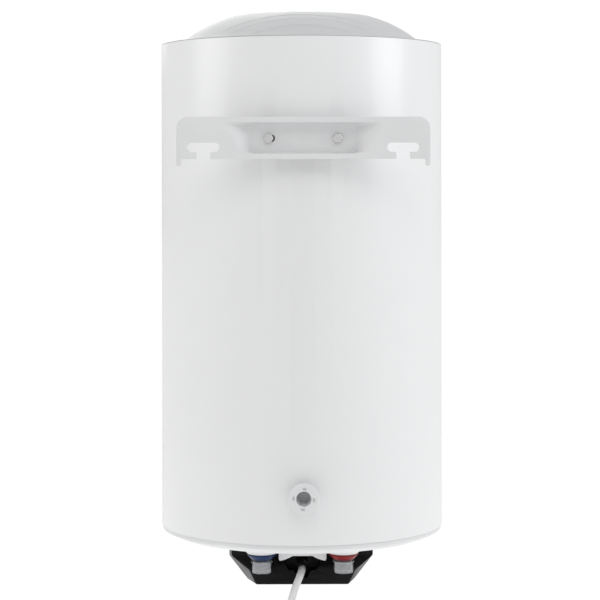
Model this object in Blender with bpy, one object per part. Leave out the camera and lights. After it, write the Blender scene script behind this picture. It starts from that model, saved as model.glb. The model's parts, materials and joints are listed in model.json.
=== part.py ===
"""Slim wall-hung electric storage water heater, modelled as its separate pieces.

Everything is placed under the empty TANK_AXIS, whose own origin is on the tank's vertical axis
at the height of the jacket's bottom edge: local +Y points at the wall, local +Z up.
The empty stands so that the world origin is on the wall, midway between the two hook slots,
on the line where the wall hooks carry. The user's side is world -Y.
"""
import math

import bmesh
import bpy
from mathutils import Matrix, Vector

# ---------------------------------------------------------------- driving dimensions, metres
GAP = 0.0003                  # between pieces that touch

# Outer shell
JACKET_RADIUS = 0.175
JACKET_HEIGHT = 0.595
JACKET_SHEET = 0.0010
WALL_GAP = 0.015              # from the jacket's back to the wall
SHELL_STEPS = 40              # facets round the large turned pieces

# Plastic caps
CAP_WALL = 0.0025
PAST = 0.010                  # how far a cutting form runs past the surface it opens
CAP_UPSTAND = 0.010           # collar that locates a cap inside the jacket
CAP_EDGE = 0.0010             # thickness of the top cap's rim where it meets the jacket
DOME_LEDGE = 0.022            # from the jacket's outside in to the foot of the dome
DOME_RADIUS = JACKET_RADIUS - DOME_LEDGE
DOME_CREASE_RADIUS = 0.0888
DOME_CREASE_HEIGHT = 0.0355
DOME_HEIGHT = 0.0425
DOME_SHOULDER_BULGE = 0.0043
DOME_CROWN_BULGE = 0.0006
BOTTOM_LIP_INSET = 0.010      # from the jacket's outside in to the bottom cap's lip
BOTTOM_LIP_RADIUS = JACKET_RADIUS - BOTTOM_LIP_INSET
BOTTOM_LIP_DROP = 0.009
BOTTOM_DISH_INSET = 0.018     # from the lip in to the flat floor
BOTTOM_DISH_RADIUS = BOTTOM_LIP_RADIUS - BOTTOM_DISH_INSET
BOTTOM_DISH_DROP = 0.0132

# Inner tank and its insulation
INSULATION = 0.020
TANK_SHEET = 0.0020
TANK_FOOT = 0.030             # where the straight wall starts
TANK_SHOULDER_DROP = 0.035    # from the jacket's top down to the end of the straight wall
TANK_SHOULDER = JACKET_HEIGHT - TANK_SHOULDER_DROP
TANK_DISH = 0.022
TANK_DOME = 0.050

# Water pipes
PIPE_SPACING = 0.100
PIPE_BACK = 0.068             # pipes stand this far from the tank's axis, towards the wall
PIPE_RADIUS = 0.0104
PIPE_BORE = 0.0075
PIPE_END = -0.0485
COLD_PIPE_TOP = 0.040
HOT_PIPE_RISE = 0.025         # how far it reaches into the tank's domed top
HOT_PIPE_TOP = TANK_SHOULDER + HOT_PIPE_RISE
BOSS_RADIUS = 0.0178          # white trumpet-shaped boss round each pipe
BOSS_FLARE = 0.037
BOSS_HOLLOW = 0.0008          # how far the flare curves in from a straight cone
BOSS_END = -0.0275
PLATE_RADIUS = 0.0390         # round end of the moulded plate that carries both bosses
COLLAR_END_WALL = 0.0018
COLLAR_END_RADIUS = PIPE_RADIUS + COLLAR_END_WALL
COLLAR_END = -0.0350
COLLAR_EDGE = 0.0012
THREAD_CAP_WALL = 0.0009
THREAD_CAP_RADIUS = PIPE_RADIUS + GAP + THREAD_CAP_WALL
THREAD_CAP_LIP_WIDTH = 0.0015
THREAD_CAP_LIP_RADIUS = THREAD_CAP_RADIUS + THREAD_CAP_LIP_WIDTH
THREAD_CAP_LIP = 0.0015
THREAD_CAP_TOP = -0.0372
THREAD_CAP_ROOM = 0.0021      # from the pipe's end to the floor of its cap
THREAD_CAP_FLOOR = 0.0010

# Flange with everything that reaches into the tank
FLANGE_FORWARD = -0.038       # flange centre, towards the user from the tank's axis
FLANGE_RADIUS = 0.062
FLANGE_THICKNESS = 0.0040
FLANGE_BOLT_EDGE = 0.0075     # from the flange's edge in to the bolts' middles
FLANGE_BOLT_CIRCLE = FLANGE_RADIUS - FLANGE_BOLT_EDGE
NECK_BESIDE_BOLTS = 0.0045    # from the bolts' middles in to the neck
NECK_RADIUS = FLANGE_BOLT_CIRCLE - NECK_BESIDE_BOLTS
NECK_WALL = 0.004
NECK_BORE = NECK_RADIUS - NECK_WALL
NECK_RING = 0.0040
NECK_DROP = 0.0063
GASKET = 0.0020
FLANGE_BOLTS = 6
FLANGE_BOLT_RADIUS = 0.0030
FLANGE_BOLT_ACROSS = 0.0100
FLANGE_BOLT_HEAD = 0.0045
ELEMENT_RADIUS = 0.0042
ELEMENT_SIDE = 0.026
ELEMENT_LEGS = 0.028
ELEMENT_TOP = (0.270, 0.215)
ELEMENT_STUB = 0.012          # length of the terminals below the flange
ANODE_RADIUS = 0.011
ANODE_STEM = 0.0040
ANODE_TOP = 0.330
ANODE_STUB = 0.010
ANODE_POINT = 0.003
POCKET_RADIUS = 0.0055
POCKET_TOP = 0.230
POCKET_PLACE = 0.026
POCKET_WALL = 0.001
POCKET_STUB = 0.003

# Wall bracket
BRACKET_SHEET = 0.0020
BRACKET_WIDTH = 0.294
HOOK_DROP = 0.1253            # from the jacket's top down to the upper edge of the hook slots
BRACKET_ABOVE = 0.0300        # sheet above that edge
BRACKET_BELOW = 0.0189        # and below it
HOOK_LINE = JACKET_HEIGHT - HOOK_DROP
BRACKET_TOP = HOOK_LINE + BRACKET_ABOVE
BRACKET_FOOT = HOOK_LINE - BRACKET_BELOW
BRACKET_CORNER = 0.0135
FINGER_WIDTH = 0.0056
FINGER_DROP = 0.0081
HOOK_SPACING = 0.2314
SLOT_LENGTH = 0.0370
SLOT_HEIGHT = 0.0109
SLOT_MOUTH = 0.0157
WEB_WIDTH = 0.1256
WEB_ABOVE = 0.0223
WEB_BELOW = 0.0115
WEB_TOP = HOOK_LINE + WEB_ABOVE
WEB_FOOT = HOOK_LINE - WEB_BELOW
WEB_RAMP = 0.020
WEB_WALL = 0.0018             # how far the pressed walls lean over their height
BOLT_SPACING = 0.0806
BOLT_RADIUS = 0.0030
BOLT_ACROSS = 0.0100
BOLT_HEAD = 0.0040
BOLT_LENGTH = 0.016
BOLT_SLOT_LENGTH = 0.0140
BOLT_SLOT_HEIGHT = 0.0088
BOLT_SLOT_INNER = 0.0327      # from the middle to the slot's inner end
POST_RADIUS = 0.0070
HANGER_WIDTH = 0.104
HANGER_HEIGHT = 0.030
HANGER_SHEET = 0.0040

# Adjustable spacer that rests on the wall
SPACER_HEIGHT = 0.0570
SPACER_RADIUS = 0.0180
SPACER_DISC = 0.0050
SPACER_STEM = 0.0134
SPACER_LENGTH = 0.027
SPACER_BORE = 0.0090
SPACER_BORE_END = 0.0060
SPACER_BORE_DEPTH = 0.0234
SPACER_NOTCH = (0.0042, 0.0024, 0.0016)   # width, radial length, depth
SPACER_NOTCH_PLACE = 0.0118
SPACER_NOTCH_TURN = -5
SPACER_EDGE = 0.0012
BUSH_RADIUS = 0.0165
BUSH_DEPTH = 0.0185           # how far the bush reaches in from the jacket's outside
BUSH_START = JACKET_RADIUS - BUSH_DEPTH

# Service cover
COVER_WALL = 0.0025
COVER_BACK = 0.040
COVER_FRONT = -0.110
COVER_BACK_OUTLINE = ((0.087, -0.0355), (0.0655, -0.054), (0.057, -0.0717))
COVER_FRONT_OUTLINE = ((0.094, -0.0635), (0.0800, -0.0815), (0.0692, -0.0953))
COVER_STEP_BACK = 0.028       # the back wall's upper part stands further in
COVER_STEP_TOP = -0.038
COVER_STEP_FOOT = -0.051
RECESS_OUTLINE = ((0.0225, -0.046), (0.0170, -0.0545), (0.0108, -0.0545), (0.0065, -0.0635))
RECESS_FLOOR = 0.018
SKIRT_WIDTH = 0.0585
SKIRT_DROP = -0.0390
SKIRT_ARCH_WIDTH = 0.049
SKIRT_ARCH_TOP = -0.0330
SKIRT_BACK = 0.060
SKIRT_WALL = 0.0025
SCREW_PLACE = (0.054, -0.088)
SCREW_RADIUS = 0.0018
SCREW_HEAD_RADIUS = 0.0036
SCREW_HEAD = 0.0024
SCREW_SEAT = -0.0845
SCREW_LENGTH = 0.014
PILLAR_RADIUS = 0.0045

# Controls
KNOB_FORWARD = -0.076
KNOB_RADIUS = 0.0170
KNOB_TOP = -0.0806
KNOB_END = -0.0915
KNOB_EDGE = 0.0010
KNOB_GRIP = (0.0070, 0.0060)  # width and depth of the grip bar
KNOB_POCKET_RADIUS = 0.0240
KNOB_POCKET_TOP = -0.0800
SHAFT_RADIUS = 0.0030
SHAFT_END = -0.0880
THERMOSTAT_SIZE = (0.036, 0.030, 0.022)
THERMOSTAT_TOP = -0.048
SHAFT_SEAT = 0.004            # how deep the shaft stands in the thermostat
CONTROL_SHEET = 0.0012
CONTROL_WIDTH = 0.024
CONTROL_FOOT = 0.014
CONTROL_PLACE = 0.022         # the bracket's upright, forward of the flange's middle
CUTOUT_PLACE = (0.040, -0.038)
CUTOUT_RADIUS = 0.0090
CUTOUT_HEIGHT = 0.014
CUTOUT_DROP = 0.014           # from the flange down to the cut-out
BUTTON_SEAT = 0.006
BUTTON_PROUD = 0.003
BUTTON_RADIUS = 0.0028
BUTTON_TRAVEL = 0.0020
LENS_RADIUS = 0.0042
LENS_LIP = 0.0010
LENS_CROWN = 0.0024
LENS_HEIGHT = -0.050
TERMINAL_SIZE = (0.034, 0.018, 0.014)
TERMINAL_PLACE = (-0.027, 0.006, -0.043)
TERMINAL_PITCH = 0.0105
TERMINAL_HOLE = (0.0024, 0.0040)          # radius, depth
LEAD_RADIUS = 0.0014
CAPILLARY_RADIUS = 0.0009

# Power cord
CORD_RADIUS = 0.0045
GLAND_RADIUS = 0.0062
GLAND_HEIGHT = -0.0550
GLAND_START = 0.0090
GLAND_END = 0.0260
CORD_ROUTE = (
    (0.0000, 0.0263, -0.0550), (0.0004, 0.0330, -0.0549), (0.0014, 0.0412, -0.0563),
    (0.0036, 0.0478, -0.0610), (0.0070, 0.0508, -0.0688), (0.0104, 0.0519, -0.0780),
    (0.0132, 0.0520, -0.0870), (0.0158, 0.0520, -0.0945), (0.0188, 0.0520, -0.1012),
)
COIL_CENTRE = (0.004, 0.0567, -0.164)
COIL_RADIUS = 0.050
COIL_BUNDLE = 0.0112
TIE_WALL = 0.0015
TIE_WIDTH = 0.006
TAIL_ROUTE = (
    (0.0118, 0.0614, -0.2277), (0.0092, 0.0613, -0.2322), (0.0072, 0.0612, -0.2380),
    (0.0058, 0.0610, -0.2460), (0.0054, 0.0608, -0.2540),
)
PLUG_NECK_RADIUS = 0.0065
PLUG_RADIUS = 0.0190
PLUG_LENGTH = 0.050
PLUG_PIN_RADIUS = 0.0024
PLUG_PIN_SPACING = 0.019
PLUG_PIN_LENGTH = 0.019
PLUG_PIN_POINT = 0.0014

# ---------------------------------------------------------------- values that follow
AXIS_BACK = JACKET_RADIUS + WALL_GAP
JACKET_INNER = JACKET_RADIUS - JACKET_SHEET
TANK_RADIUS = JACKET_INNER - 2 * GAP - INSULATION
WEB_MIDDLE = (WEB_TOP + WEB_FOOT) / 2
WEB_BACK = JACKET_RADIUS + GAP
FLANGE_TOP = -NECK_DROP - 2 * GAP - GASKET
FLANGE_FOOT = FLANGE_TOP - FLANGE_THICKNESS
COVER_TOP = -BOTTOM_DISH_DROP - GAP
CUTOUT_TOP = FLANGE_FOOT - CUTOUT_DROP
THERMOSTAT_FOOT = THERMOSTAT_TOP - THERMOSTAT_SIZE[2]


# ---------------------------------------------------------------- small tools
def clear_scene():
    for found in list(bpy.data.objects):
        bpy.data.objects.remove(found, do_unlink=True)


def material(name, color, roughness, metallic=0.0, alpha=1.0):
    made = bpy.data.materials.new(name)
    made.use_nodes = True
    shader = made.node_tree.nodes["Principled BSDF"]
    shader.inputs["Base Color"].default_value = (*color, 1.0)
    shader.inputs["Roughness"].default_value = roughness
    shader.inputs["Metallic"].default_value = metallic
    shader.inputs["Alpha"].default_value = alpha
    made.diffuse_color = (*color, alpha)
    return made


def place(name, data, paint=None, at=(0, 0, 0)):
    """An object for this data, under the tank's axis."""
    made = bpy.data.objects.new(name, data)
    bpy.context.scene.collection.objects.link(made)
    made.parent = bpy.data.objects["TANK_AXIS"]
    made.location = at
    if paint is not None:
        data.materials.append(paint)
    return made


def cutter(made):
    """Marks an object as a tool that isn't a piece of the heater."""
    made.hide_render = True
    made.display_type = "WIRE"
    return made


def boolean(target, tool, operation="DIFFERENCE"):
    step = target.modifiers.new(tool.name, "BOOLEAN")
    step.operation = operation
    step.solver = "EXACT"
    step.object = cutter(tool)


def drill(target, places, radius, low, high, steps=12):
    """Cuts the same upright round hole at several places."""
    form = bmesh.new()
    for x, y, _ in places:
        spot = Matrix.Translation((x, y, (low + high) / 2))
        bmesh.ops.create_cone(form, cap_ends=True, segments=steps, radius1=radius, radius2=radius,
                              depth=high - low, matrix=spot)
    boolean(target, place("drill", mesh_from(form, "drill")))


def mesh_from(form, name, smooth=True):
    bmesh.ops.recalc_face_normals(form, faces=form.faces)
    mesh = bpy.data.meshes.new(name)
    form.to_mesh(mesh)
    form.free()
    if smooth:
        mesh.shade_smooth()
        mesh.set_sharp_from_angle(angle=math.radians(35))
    return mesh


def turned(name, profile, steps):
    """A profile of (radius, height) turned round Z. It is closed, or starts and ends on the axis."""
    form = bmesh.new()
    points = [form.verts.new((radius, 0, height)) for radius, height in profile]
    edges = [form.edges.new(pair) for pair in zip(points, points[1:])]
    if profile[0][0] > 0:
        edges.append(form.edges.new((points[-1], points[0])))
    bmesh.ops.spin(form, geom=points + edges, axis=(0, 0, 1), cent=(0, 0, 0), steps=steps,
                   angle=2 * math.pi, use_merge=True)
    bmesh.ops.remove_doubles(form, verts=form.verts, dist=1e-6)
    return mesh_from(form, name)


def prism(name, outline, low, high, axis="Z"):
    """A flat outline pushed from low to high along an axis.

    The outline is (x, y) for axis Z, (x, z) for axis Y and (y, z) for axis X.
    """
    spots = {"Z": lambda u, v, w: (u, v, w), "Y": lambda u, v, w: (u, w, v), "X": lambda u, v, w: (w, u, v)}
    spot = spots[axis]
    form = bmesh.new()
    face = form.faces.new([form.verts.new(spot(u, v, low)) for u, v in outline])
    grown = bmesh.ops.extrude_face_region(form, geom=[face])["geom"]
    moved = [item for item in grown if isinstance(item, bmesh.types.BMVert)]
    bmesh.ops.translate(form, verts=moved, vec=Vector(spot(0, 0, high - low)))
    return mesh_from(form, name)


def block(name, low, high):
    outline = [(low[0], low[1]), (high[0], low[1]), (high[0], high[1]), (low[0], high[1])]
    return prism(name, outline, low[2], high[2])


def disc(name, radius, low, high, steps=24):
    form = bmesh.new()
    bmesh.ops.create_cone(form, cap_ends=True, segments=steps, radius1=radius, radius2=radius,
                          depth=high - low, matrix=Matrix.Translation((0, 0, (low + high) / 2)))
    return mesh_from(form, name)


def ring(name, inner, outer, low, high, steps=24):
    return turned(name, [(inner, low), (outer, low), (outer, high), (inner, high)], steps)


def loft(name, first, last):
    """The solid between two outlines of (x, y, z) points, the same number in each."""
    form = bmesh.new()
    near = [form.verts.new(point) for point in first]
    far = [form.verts.new(point) for point in last]
    form.faces.new(near)
    form.faces.new(list(reversed(far)))
    count = len(near)
    for index in range(count):
        following = (index + 1) % count
        form.faces.new((near[index], far[index], far[following], near[following]))
    return mesh_from(form, name)


def arc(start, end, bulge, steps):
    """Points from start to end on an arc that stands out to the left of the straight line."""
    start = Vector(start)
    end = Vector(end)
    chord = end - start
    radius = (chord.length ** 2 / 4 + bulge ** 2) / (2 * abs(bulge))
    left = Vector((-chord.y, chord.x)).normalized() * math.copysign(1, bulge)
    centre = (start + end) / 2 - left * (radius - abs(bulge))
    half = math.asin(min(1, chord.length / 2 / radius))
    spots = []
    for index in range(steps + 1):
        turn = half * (2 * index / steps - 1)
        along = chord.normalized() * radius * math.sin(turn)
        spots.append(tuple(centre + along + left * radius * math.cos(turn)))
    return spots


def rounded(outline, radii, steps=4):
    """The outline with each corner replaced by an arc of its own radius."""
    spots = []
    count = len(outline)
    for index, radius in enumerate(radii):
        corner = Vector(outline[index])
        if radius == 0:
            spots.append(tuple(corner))
            continue
        before = (Vector(outline[index - 1]) - corner).normalized()
        after = (Vector(outline[(index + 1) % count]) - corner).normalized()
        half = before.angle(after) / 2
        centre = corner + (before + after).normalized() * radius / math.sin(half)
        first = corner + before * radius / math.tan(half) - centre
        last = corner + after * radius / math.tan(half) - centre
        sweep = math.pi - 2 * half
        for step in range(steps + 1):
            turn = sweep * step / steps
            reach = (first * math.sin(sweep - turn) + last * math.sin(turn)) / math.sin(sweep)
            spots.append(tuple(centre + reach))
    return spots


def inset(outline, distance):
    """The outline moved inwards by a distance, or outwards where it is negative."""
    points = [Vector(point) for point in outline]
    count = len(points)
    area = sum(points[i - 1].x * points[i].y - points[i].x * points[i - 1].y for i in range(count))
    turn = math.copysign(1, area)
    spots = []
    for index in range(count):
        before = (points[index] - points[index - 1]).normalized()
        after = (points[(index + 1) % count] - points[index]).normalized()
        left_before = Vector((-before.y, before.x)) * turn
        left_after = Vector((-after.y, after.x)) * turn
        middle = (left_before + left_after).normalized()
        spots.append(tuple(points[index] + middle * distance / middle.dot(left_before)))
    return spots


def mirrored(half):
    """A right half outline of (x, z) points joined to its mirror image, from the top right down."""
    return list(half) + [(-x, z) for x, z in reversed(half)]


def smooth(route, count):
    """Points on a smooth curve that passes through every point of the route."""
    spots = [Vector(point) for point in route]
    spots = [2 * spots[0] - spots[1]] + spots + [2 * spots[-1] - spots[-2]]
    spans = len(route) - 1
    made = []
    for index in range(count + 1):
        where = index / count * spans
        span = min(int(where), spans - 1)
        t = where - span
        a, b, c, d = spots[span:span + 4]
        made.append((2 * b + (c - a) * t + (2 * a - 5 * b + 4 * c - d) * t ** 2
                     + (3 * b - 3 * c + d - a) * t ** 3) / 2)
    return made


def tube(name, points, radius, paint, resolution=2):
    """A round bar along a line of points."""
    line = bpy.data.curves.new(name, "CURVE")
    line.dimensions = "3D"
    line.bevel_depth = radius
    line.bevel_resolution = resolution
    line.use_fill_caps = True
    path = line.splines.new("POLY")
    path.points.add(len(points) - 1)
    for spot, point in zip(path.points, points):
        spot.co = (*point, 1)
    return place(name, line, paint)


def across_flats(width):
    """The corners of a hexagon of that width, from flat to flat."""
    radius = width / math.sqrt(3)
    return [(radius * math.cos(math.radians(60 * k)), radius * math.sin(math.radians(60 * k)))
            for k in range(6)]


def facing_wall(made):
    """Turns a piece that was made along +Z so that it points at the wall."""
    made.rotation_euler = (-math.pi / 2, 0, 0)
    return made


# ---------------------------------------------------------------- shell and caps
def dome_line(radius, steps=3):
    """The dome's outer line above the jacket's top, from the rim to the middle."""
    shoulder = arc((radius, 0), (DOME_CREASE_RADIUS, DOME_CREASE_HEIGHT), -DOME_SHOULDER_BULGE, steps)
    crown = arc((DOME_CREASE_RADIUS, DOME_CREASE_HEIGHT), (0, DOME_HEIGHT), -DOME_CROWN_BULGE, steps)
    return shoulder + crown[1:]


def outer_jacket(white):
    body = place("outer_jacket", ring("outer_jacket", JACKET_INNER, JACKET_RADIUS, 0, JACKET_HEIGHT,
                                      SHELL_STEPS), white)
    for side in (-1, 1):
        hole = disc("jacket_post_hole", POST_RADIUS + GAP, 0, 0.06)
        boolean(body, facing_wall(place("jacket_post_hole", hole,
                                        at=(side * BOLT_SPACING / 2, TANK_RADIUS, WEB_MIDDLE))))
    hole = disc("jacket_spacer_hole", SPACER_STEM + GAP, 0, 0.06)
    boolean(body, facing_wall(place("jacket_spacer_hole", hole, at=(0, TANK_RADIUS, SPACER_HEIGHT))))


def top_cap(grey):
    inner = [(max(radius - CAP_WALL, 0), height - CAP_WALL) for radius, height in dome_line(DOME_RADIUS, 2)]
    rim = JACKET_RADIUS - GAP
    upstand = JACKET_INNER - GAP
    profile = [(0, DOME_HEIGHT)] + list(reversed(dome_line(DOME_RADIUS)))[1:-1]
    profile += [(DOME_RADIUS, CAP_WALL), (rim, CAP_EDGE), (rim, GAP), (upstand, GAP), (upstand, -CAP_UPSTAND)]
    profile += [(upstand - CAP_WALL, -CAP_UPSTAND), (upstand - CAP_WALL, 0)]
    profile += [(DOME_RADIUS - CAP_WALL, 0)] + inner[1:-1] + [(0, DOME_HEIGHT - CAP_WALL)]
    place("top_cap", turned("top_cap", profile, SHELL_STEPS), grey, (0, 0, JACKET_HEIGHT))


def bottom_line():
    """The bottom cap's lower surface, from its middle to the lip."""
    bend = ((BOTTOM_DISH_RADIUS + BOTTOM_LIP_RADIUS) / 2,
            -(BOTTOM_DISH_DROP + BOTTOM_LIP_DROP + CAP_WALL) / 2)
    return [(0, -BOTTOM_DISH_DROP), (BOTTOM_DISH_RADIUS, -BOTTOM_DISH_DROP), bend,
            (BOTTOM_LIP_RADIUS, -BOTTOM_LIP_DROP)]


def pipe_place(side):
    return (side * PIPE_SPACING / 2, PIPE_BACK, 0)


def screw_place(side):
    return (side * SCREW_PLACE[0], SCREW_PLACE[1], 0)


def skirt_outline(root):
    """The arched skirt between the pipes, with a small toe at each side."""
    side = SKIRT_WIDTH / 2
    toe = SKIRT_WALL / 2
    half = [(side, root), (side, SKIRT_DROP + 2 * toe), (side - toe, SKIRT_DROP),
            (side - 3 * toe, SKIRT_DROP + toe / 2)]
    crown = (SKIRT_ARCH_WIDTH / 4, SKIRT_ARCH_TOP)
    return mirrored(half + arc(half[-1], crown, toe / 2, 3)[1:])


def boss_profile():
    """Trumpet-shaped boss: its flare is a cone that curves in a little."""
    flare = arc((BOSS_FLARE, -BOTTOM_DISH_DROP), (BOSS_RADIUS, BOSS_END), -BOSS_HOLLOW, 3)
    top = -BOTTOM_DISH_DROP + CAP_WALL / 2
    return [(PIPE_BORE, top), (BOSS_FLARE, top)] + flare + [(PIPE_BORE, BOSS_END)]


def bottom_cap(white):
    upstand = JACKET_INNER - GAP
    outer = bottom_line()
    inner = [(radius, height + CAP_WALL) for radius, height in outer]
    inner[-1] = (upstand - CAP_WALL, -BOTTOM_LIP_DROP / 2 + CAP_WALL / 2)
    profile = outer + [(JACKET_RADIUS - 4 * GAP, -2 * CAP_WALL), (JACKET_RADIUS - 4 * GAP, -GAP)]
    profile += [(upstand, -GAP), (upstand, CAP_UPSTAND), (upstand - CAP_WALL, CAP_UPSTAND)]
    profile += list(reversed(inner))
    body = place("bottom_cap", turned("bottom_cap", profile, SHELL_STEPS), white)

    root = -BOTTOM_DISH_DROP + CAP_WALL / 2
    for side in (-1, 1):
        pillar = disc("pillar", PILLAR_RADIUS, SCREW_SEAT + COVER_WALL + GAP, root, 16)
        boolean(body, place("pillar", pillar, at=screw_place(side)), "UNION")
    for side in (-1, 1):
        end = SCREW_SEAT + SCREW_LENGTH + SCREW_RADIUS
        hole = disc("pillar_hole", SCREW_RADIUS + GAP, SCREW_SEAT - PAST, end, 12)
        boolean(body, place("pillar_hole", hole, at=screw_place(side)))
    opening = disc("flange_opening", FLANGE_RADIUS + 2 * GAP, root - PAST, root + PAST, 24)
    boolean(body, place("flange_opening", opening, at=(0, FLANGE_FORWARD, 0)))
    opening = prism("plate_opening", plate_outline(PLATE_RADIUS + GAP), root - PAST, root + PAST, "Z")
    boolean(body, place("plate_opening", opening))


def plate_outline(radius):
    """Half rounds about the two pipes, joined by straight sides."""
    spots = []
    steps = 10
    for side in (1, -1):
        x, y, _ = pipe_place(side)
        for index in range(steps + 1):
            turn = math.pi * (index / steps - 0.5)
            spots.append((x + side * radius * math.cos(turn), y + side * radius * math.sin(turn)))
    return spots


def pipe_plate(white):
    """The plate that closes the bottom cap round the pipes, with their bosses and the arched skirt."""
    floor = -BOTTOM_DISH_DROP
    root = floor + CAP_WALL / 2
    form = prism("pipe_plate", plate_outline(PLATE_RADIUS), floor, floor + CAP_WALL, "Z")
    body = place("pipe_plate", form, white)
    skirt = prism("skirt", skirt_outline(root), SKIRT_BACK - SKIRT_WALL, SKIRT_BACK, "Y")
    boolean(body, place("skirt", skirt), "UNION")
    for side in (-1, 1):
        boss = turned("pipe_boss", boss_profile(), 24)
        boolean(body, place("pipe_boss", boss, at=pipe_place(side)), "UNION")
    for side in (-1, 1):
        hole = disc("boss_hole", PIPE_RADIUS + GAP, BOSS_END - PAST, root + PAST)
        boolean(body, place("boss_hole", hole, at=pipe_place(side)))


# ---------------------------------------------------------------- tank, insulation and pipes
def bowl(radius, foot, depth, steps=3):
    """Half an ellipse from the wall at foot to the middle, depth further along."""
    spots = []
    for index in range(steps + 1):
        turn = math.pi / 2 * index / steps
        spots.append((radius * math.cos(turn), foot + depth * math.sin(turn)))
    spots[-1] = (0, foot + depth)
    return spots


def tank_line(offset):
    """The tank's outline grown by an offset, from the bottom's middle to the top's."""
    low = bowl(TANK_RADIUS + offset, TANK_FOOT, -TANK_DISH - offset)
    high = bowl(TANK_RADIUS + offset, TANK_SHOULDER, TANK_DOME + offset)
    return list(reversed(low)) + high


def inner_tank(enamel):
    profile = tank_line(0) + list(reversed(tank_line(-TANK_SHEET)))
    form = turned("inner_tank", profile[:len(profile) // 2], SHELL_STEPS)
    body = place("inner_tank", form, enamel)
    neck = disc("neck", NECK_RADIUS, -NECK_DROP + NECK_RING / 2, TANK_FOOT, 24)
    boolean(body, place("neck", neck, at=(0, FLANGE_FORWARD, 0)), "UNION")
    flange_ring = disc("neck_ring", FLANGE_RADIUS, -NECK_DROP, -NECK_DROP + NECK_RING, 24)
    boolean(body, place("neck_ring", flange_ring, at=(0, FLANGE_FORWARD, 0)), "UNION")
    hollow = turned("tank_hollow", tank_line(-TANK_SHEET), SHELL_STEPS)
    boolean(body, place("tank_hollow", hollow))
    bore = disc("neck_bore", NECK_BORE, -0.02, TANK_FOOT + 0.02, 24)
    boolean(body, place("neck_bore", bore, at=(0, FLANGE_FORWARD, 0)))
    drill(body, [pipe_place(-1), pipe_place(1)], PIPE_RADIUS + GAP, -0.02, TANK_FOOT + 0.01, 24)
    drill(body, flange_bolt_places(), FLANGE_BOLT_RADIUS + GAP, -0.02, -NECK_DROP + NECK_RING + 0.0005)


def insulation(foam):
    """Foam that fills the room between the tank, the jacket and the two caps."""
    outer = JACKET_INNER - GAP
    under_cap = outer - CAP_WALL - 2 * GAP
    low = [(radius, height + CAP_WALL + GAP) for radius, height in bottom_line()[:-1]]
    low += [(BOTTOM_LIP_RADIUS, 0), (under_cap, CAP_UPSTAND / 2), (under_cap, CAP_UPSTAND + GAP)]
    high = [(max(radius - CAP_WALL - GAP, 0), JACKET_HEIGHT + height - CAP_WALL - 2 * GAP)
            for radius, height in dome_line(DOME_RADIUS, 2)]
    high[0] = (DOME_RADIUS - CAP_WALL - GAP, JACKET_HEIGHT - GAP)
    rim = [(outer, CAP_UPSTAND + GAP), (outer, JACKET_HEIGHT - CAP_UPSTAND - GAP),
           (under_cap, JACKET_HEIGHT - CAP_UPSTAND - GAP), (under_cap, JACKET_HEIGHT - GAP)]
    body = place("insulation", turned("insulation", low + rim + high, SHELL_STEPS), foam)
    boolean(body, place("foam_hollow", turned("foam_hollow", tank_line(GAP), SHELL_STEPS)))
    room = disc("foam_flange_room", FLANGE_RADIUS + GAP, -0.04, -NECK_DROP + NECK_RING + GAP, 24)
    boolean(body, place("foam_flange_room", room, at=(0, FLANGE_FORWARD, 0)))
    room = disc("foam_neck_room", NECK_RADIUS + GAP, -0.01, TANK_FOOT, 24)
    boolean(body, place("foam_neck_room", room, at=(0, FLANGE_FORWARD, 0)))
    for side in (-1, 1):
        hole = disc("foam_pipe_hole", PIPE_RADIUS + GAP, -0.03, TANK_FOOT)
        boolean(body, place("foam_pipe_hole", hole, at=pipe_place(side)))
        hole = disc("foam_post_hole", POST_RADIUS + GAP, 0, 0.06)
        boolean(body, facing_wall(place("foam_post_hole", hole,
                                        at=(side * BOLT_SPACING / 2, TANK_RADIUS - 0.01, WEB_MIDDLE))))
    half = (HANGER_WIDTH / 2 + GAP, HANGER_HEIGHT / 2 + GAP)
    room = block("foam_hanger_room", (-half[0], TANK_RADIUS - 0.03, WEB_MIDDLE - half[1]),
                 (half[0], TANK_RADIUS + HANGER_SHEET + 2 * GAP, WEB_MIDDLE + half[1]))
    boolean(body, place("foam_hanger_room", room))
    hole = disc("foam_bush_hole", BUSH_RADIUS + GAP, 0, 0.04)
    boolean(body, facing_wall(place("foam_bush_hole", hole, at=(0, TANK_RADIUS + GAP, SPACER_HEIGHT))))


def water_pipes(steel, plastic):
    for name, side, top in (("cold_pipe", 1, COLD_PIPE_TOP), ("hot_pipe", -1, HOT_PIPE_TOP)):
        pipe = ring(name, PIPE_BORE, PIPE_RADIUS, PIPE_END, top, 24)
        place(name, pipe, steel, pipe_place(side))
    inside = PIPE_RADIUS + GAP
    low = COLD_PIPE_TOP - 0.008
    high = COLD_PIPE_TOP + 0.020
    profile = [(inside, low), (inside + 0.002, low), (inside + 0.002, high), (0, high),
               (0, high - 0.002), (inside, high - 0.002)]
    profile = profile[3:4] + profile[2::-1] + profile[:3:-1]
    body = place("cold_diffuser", turned("cold_diffuser", profile, 24), plastic, pipe_place(1))
    for turn in (0, 90):
        slot = place("diffuser_slot", block("diffuser_slot", (-0.03, -0.005, COLD_PIPE_TOP + 0.004),
                                            (0.03, 0.005, COLD_PIPE_TOP + 0.014)), at=pipe_place(1))
        slot.rotation_euler = (0, 0, math.radians(turn))
        boolean(body, slot)


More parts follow.
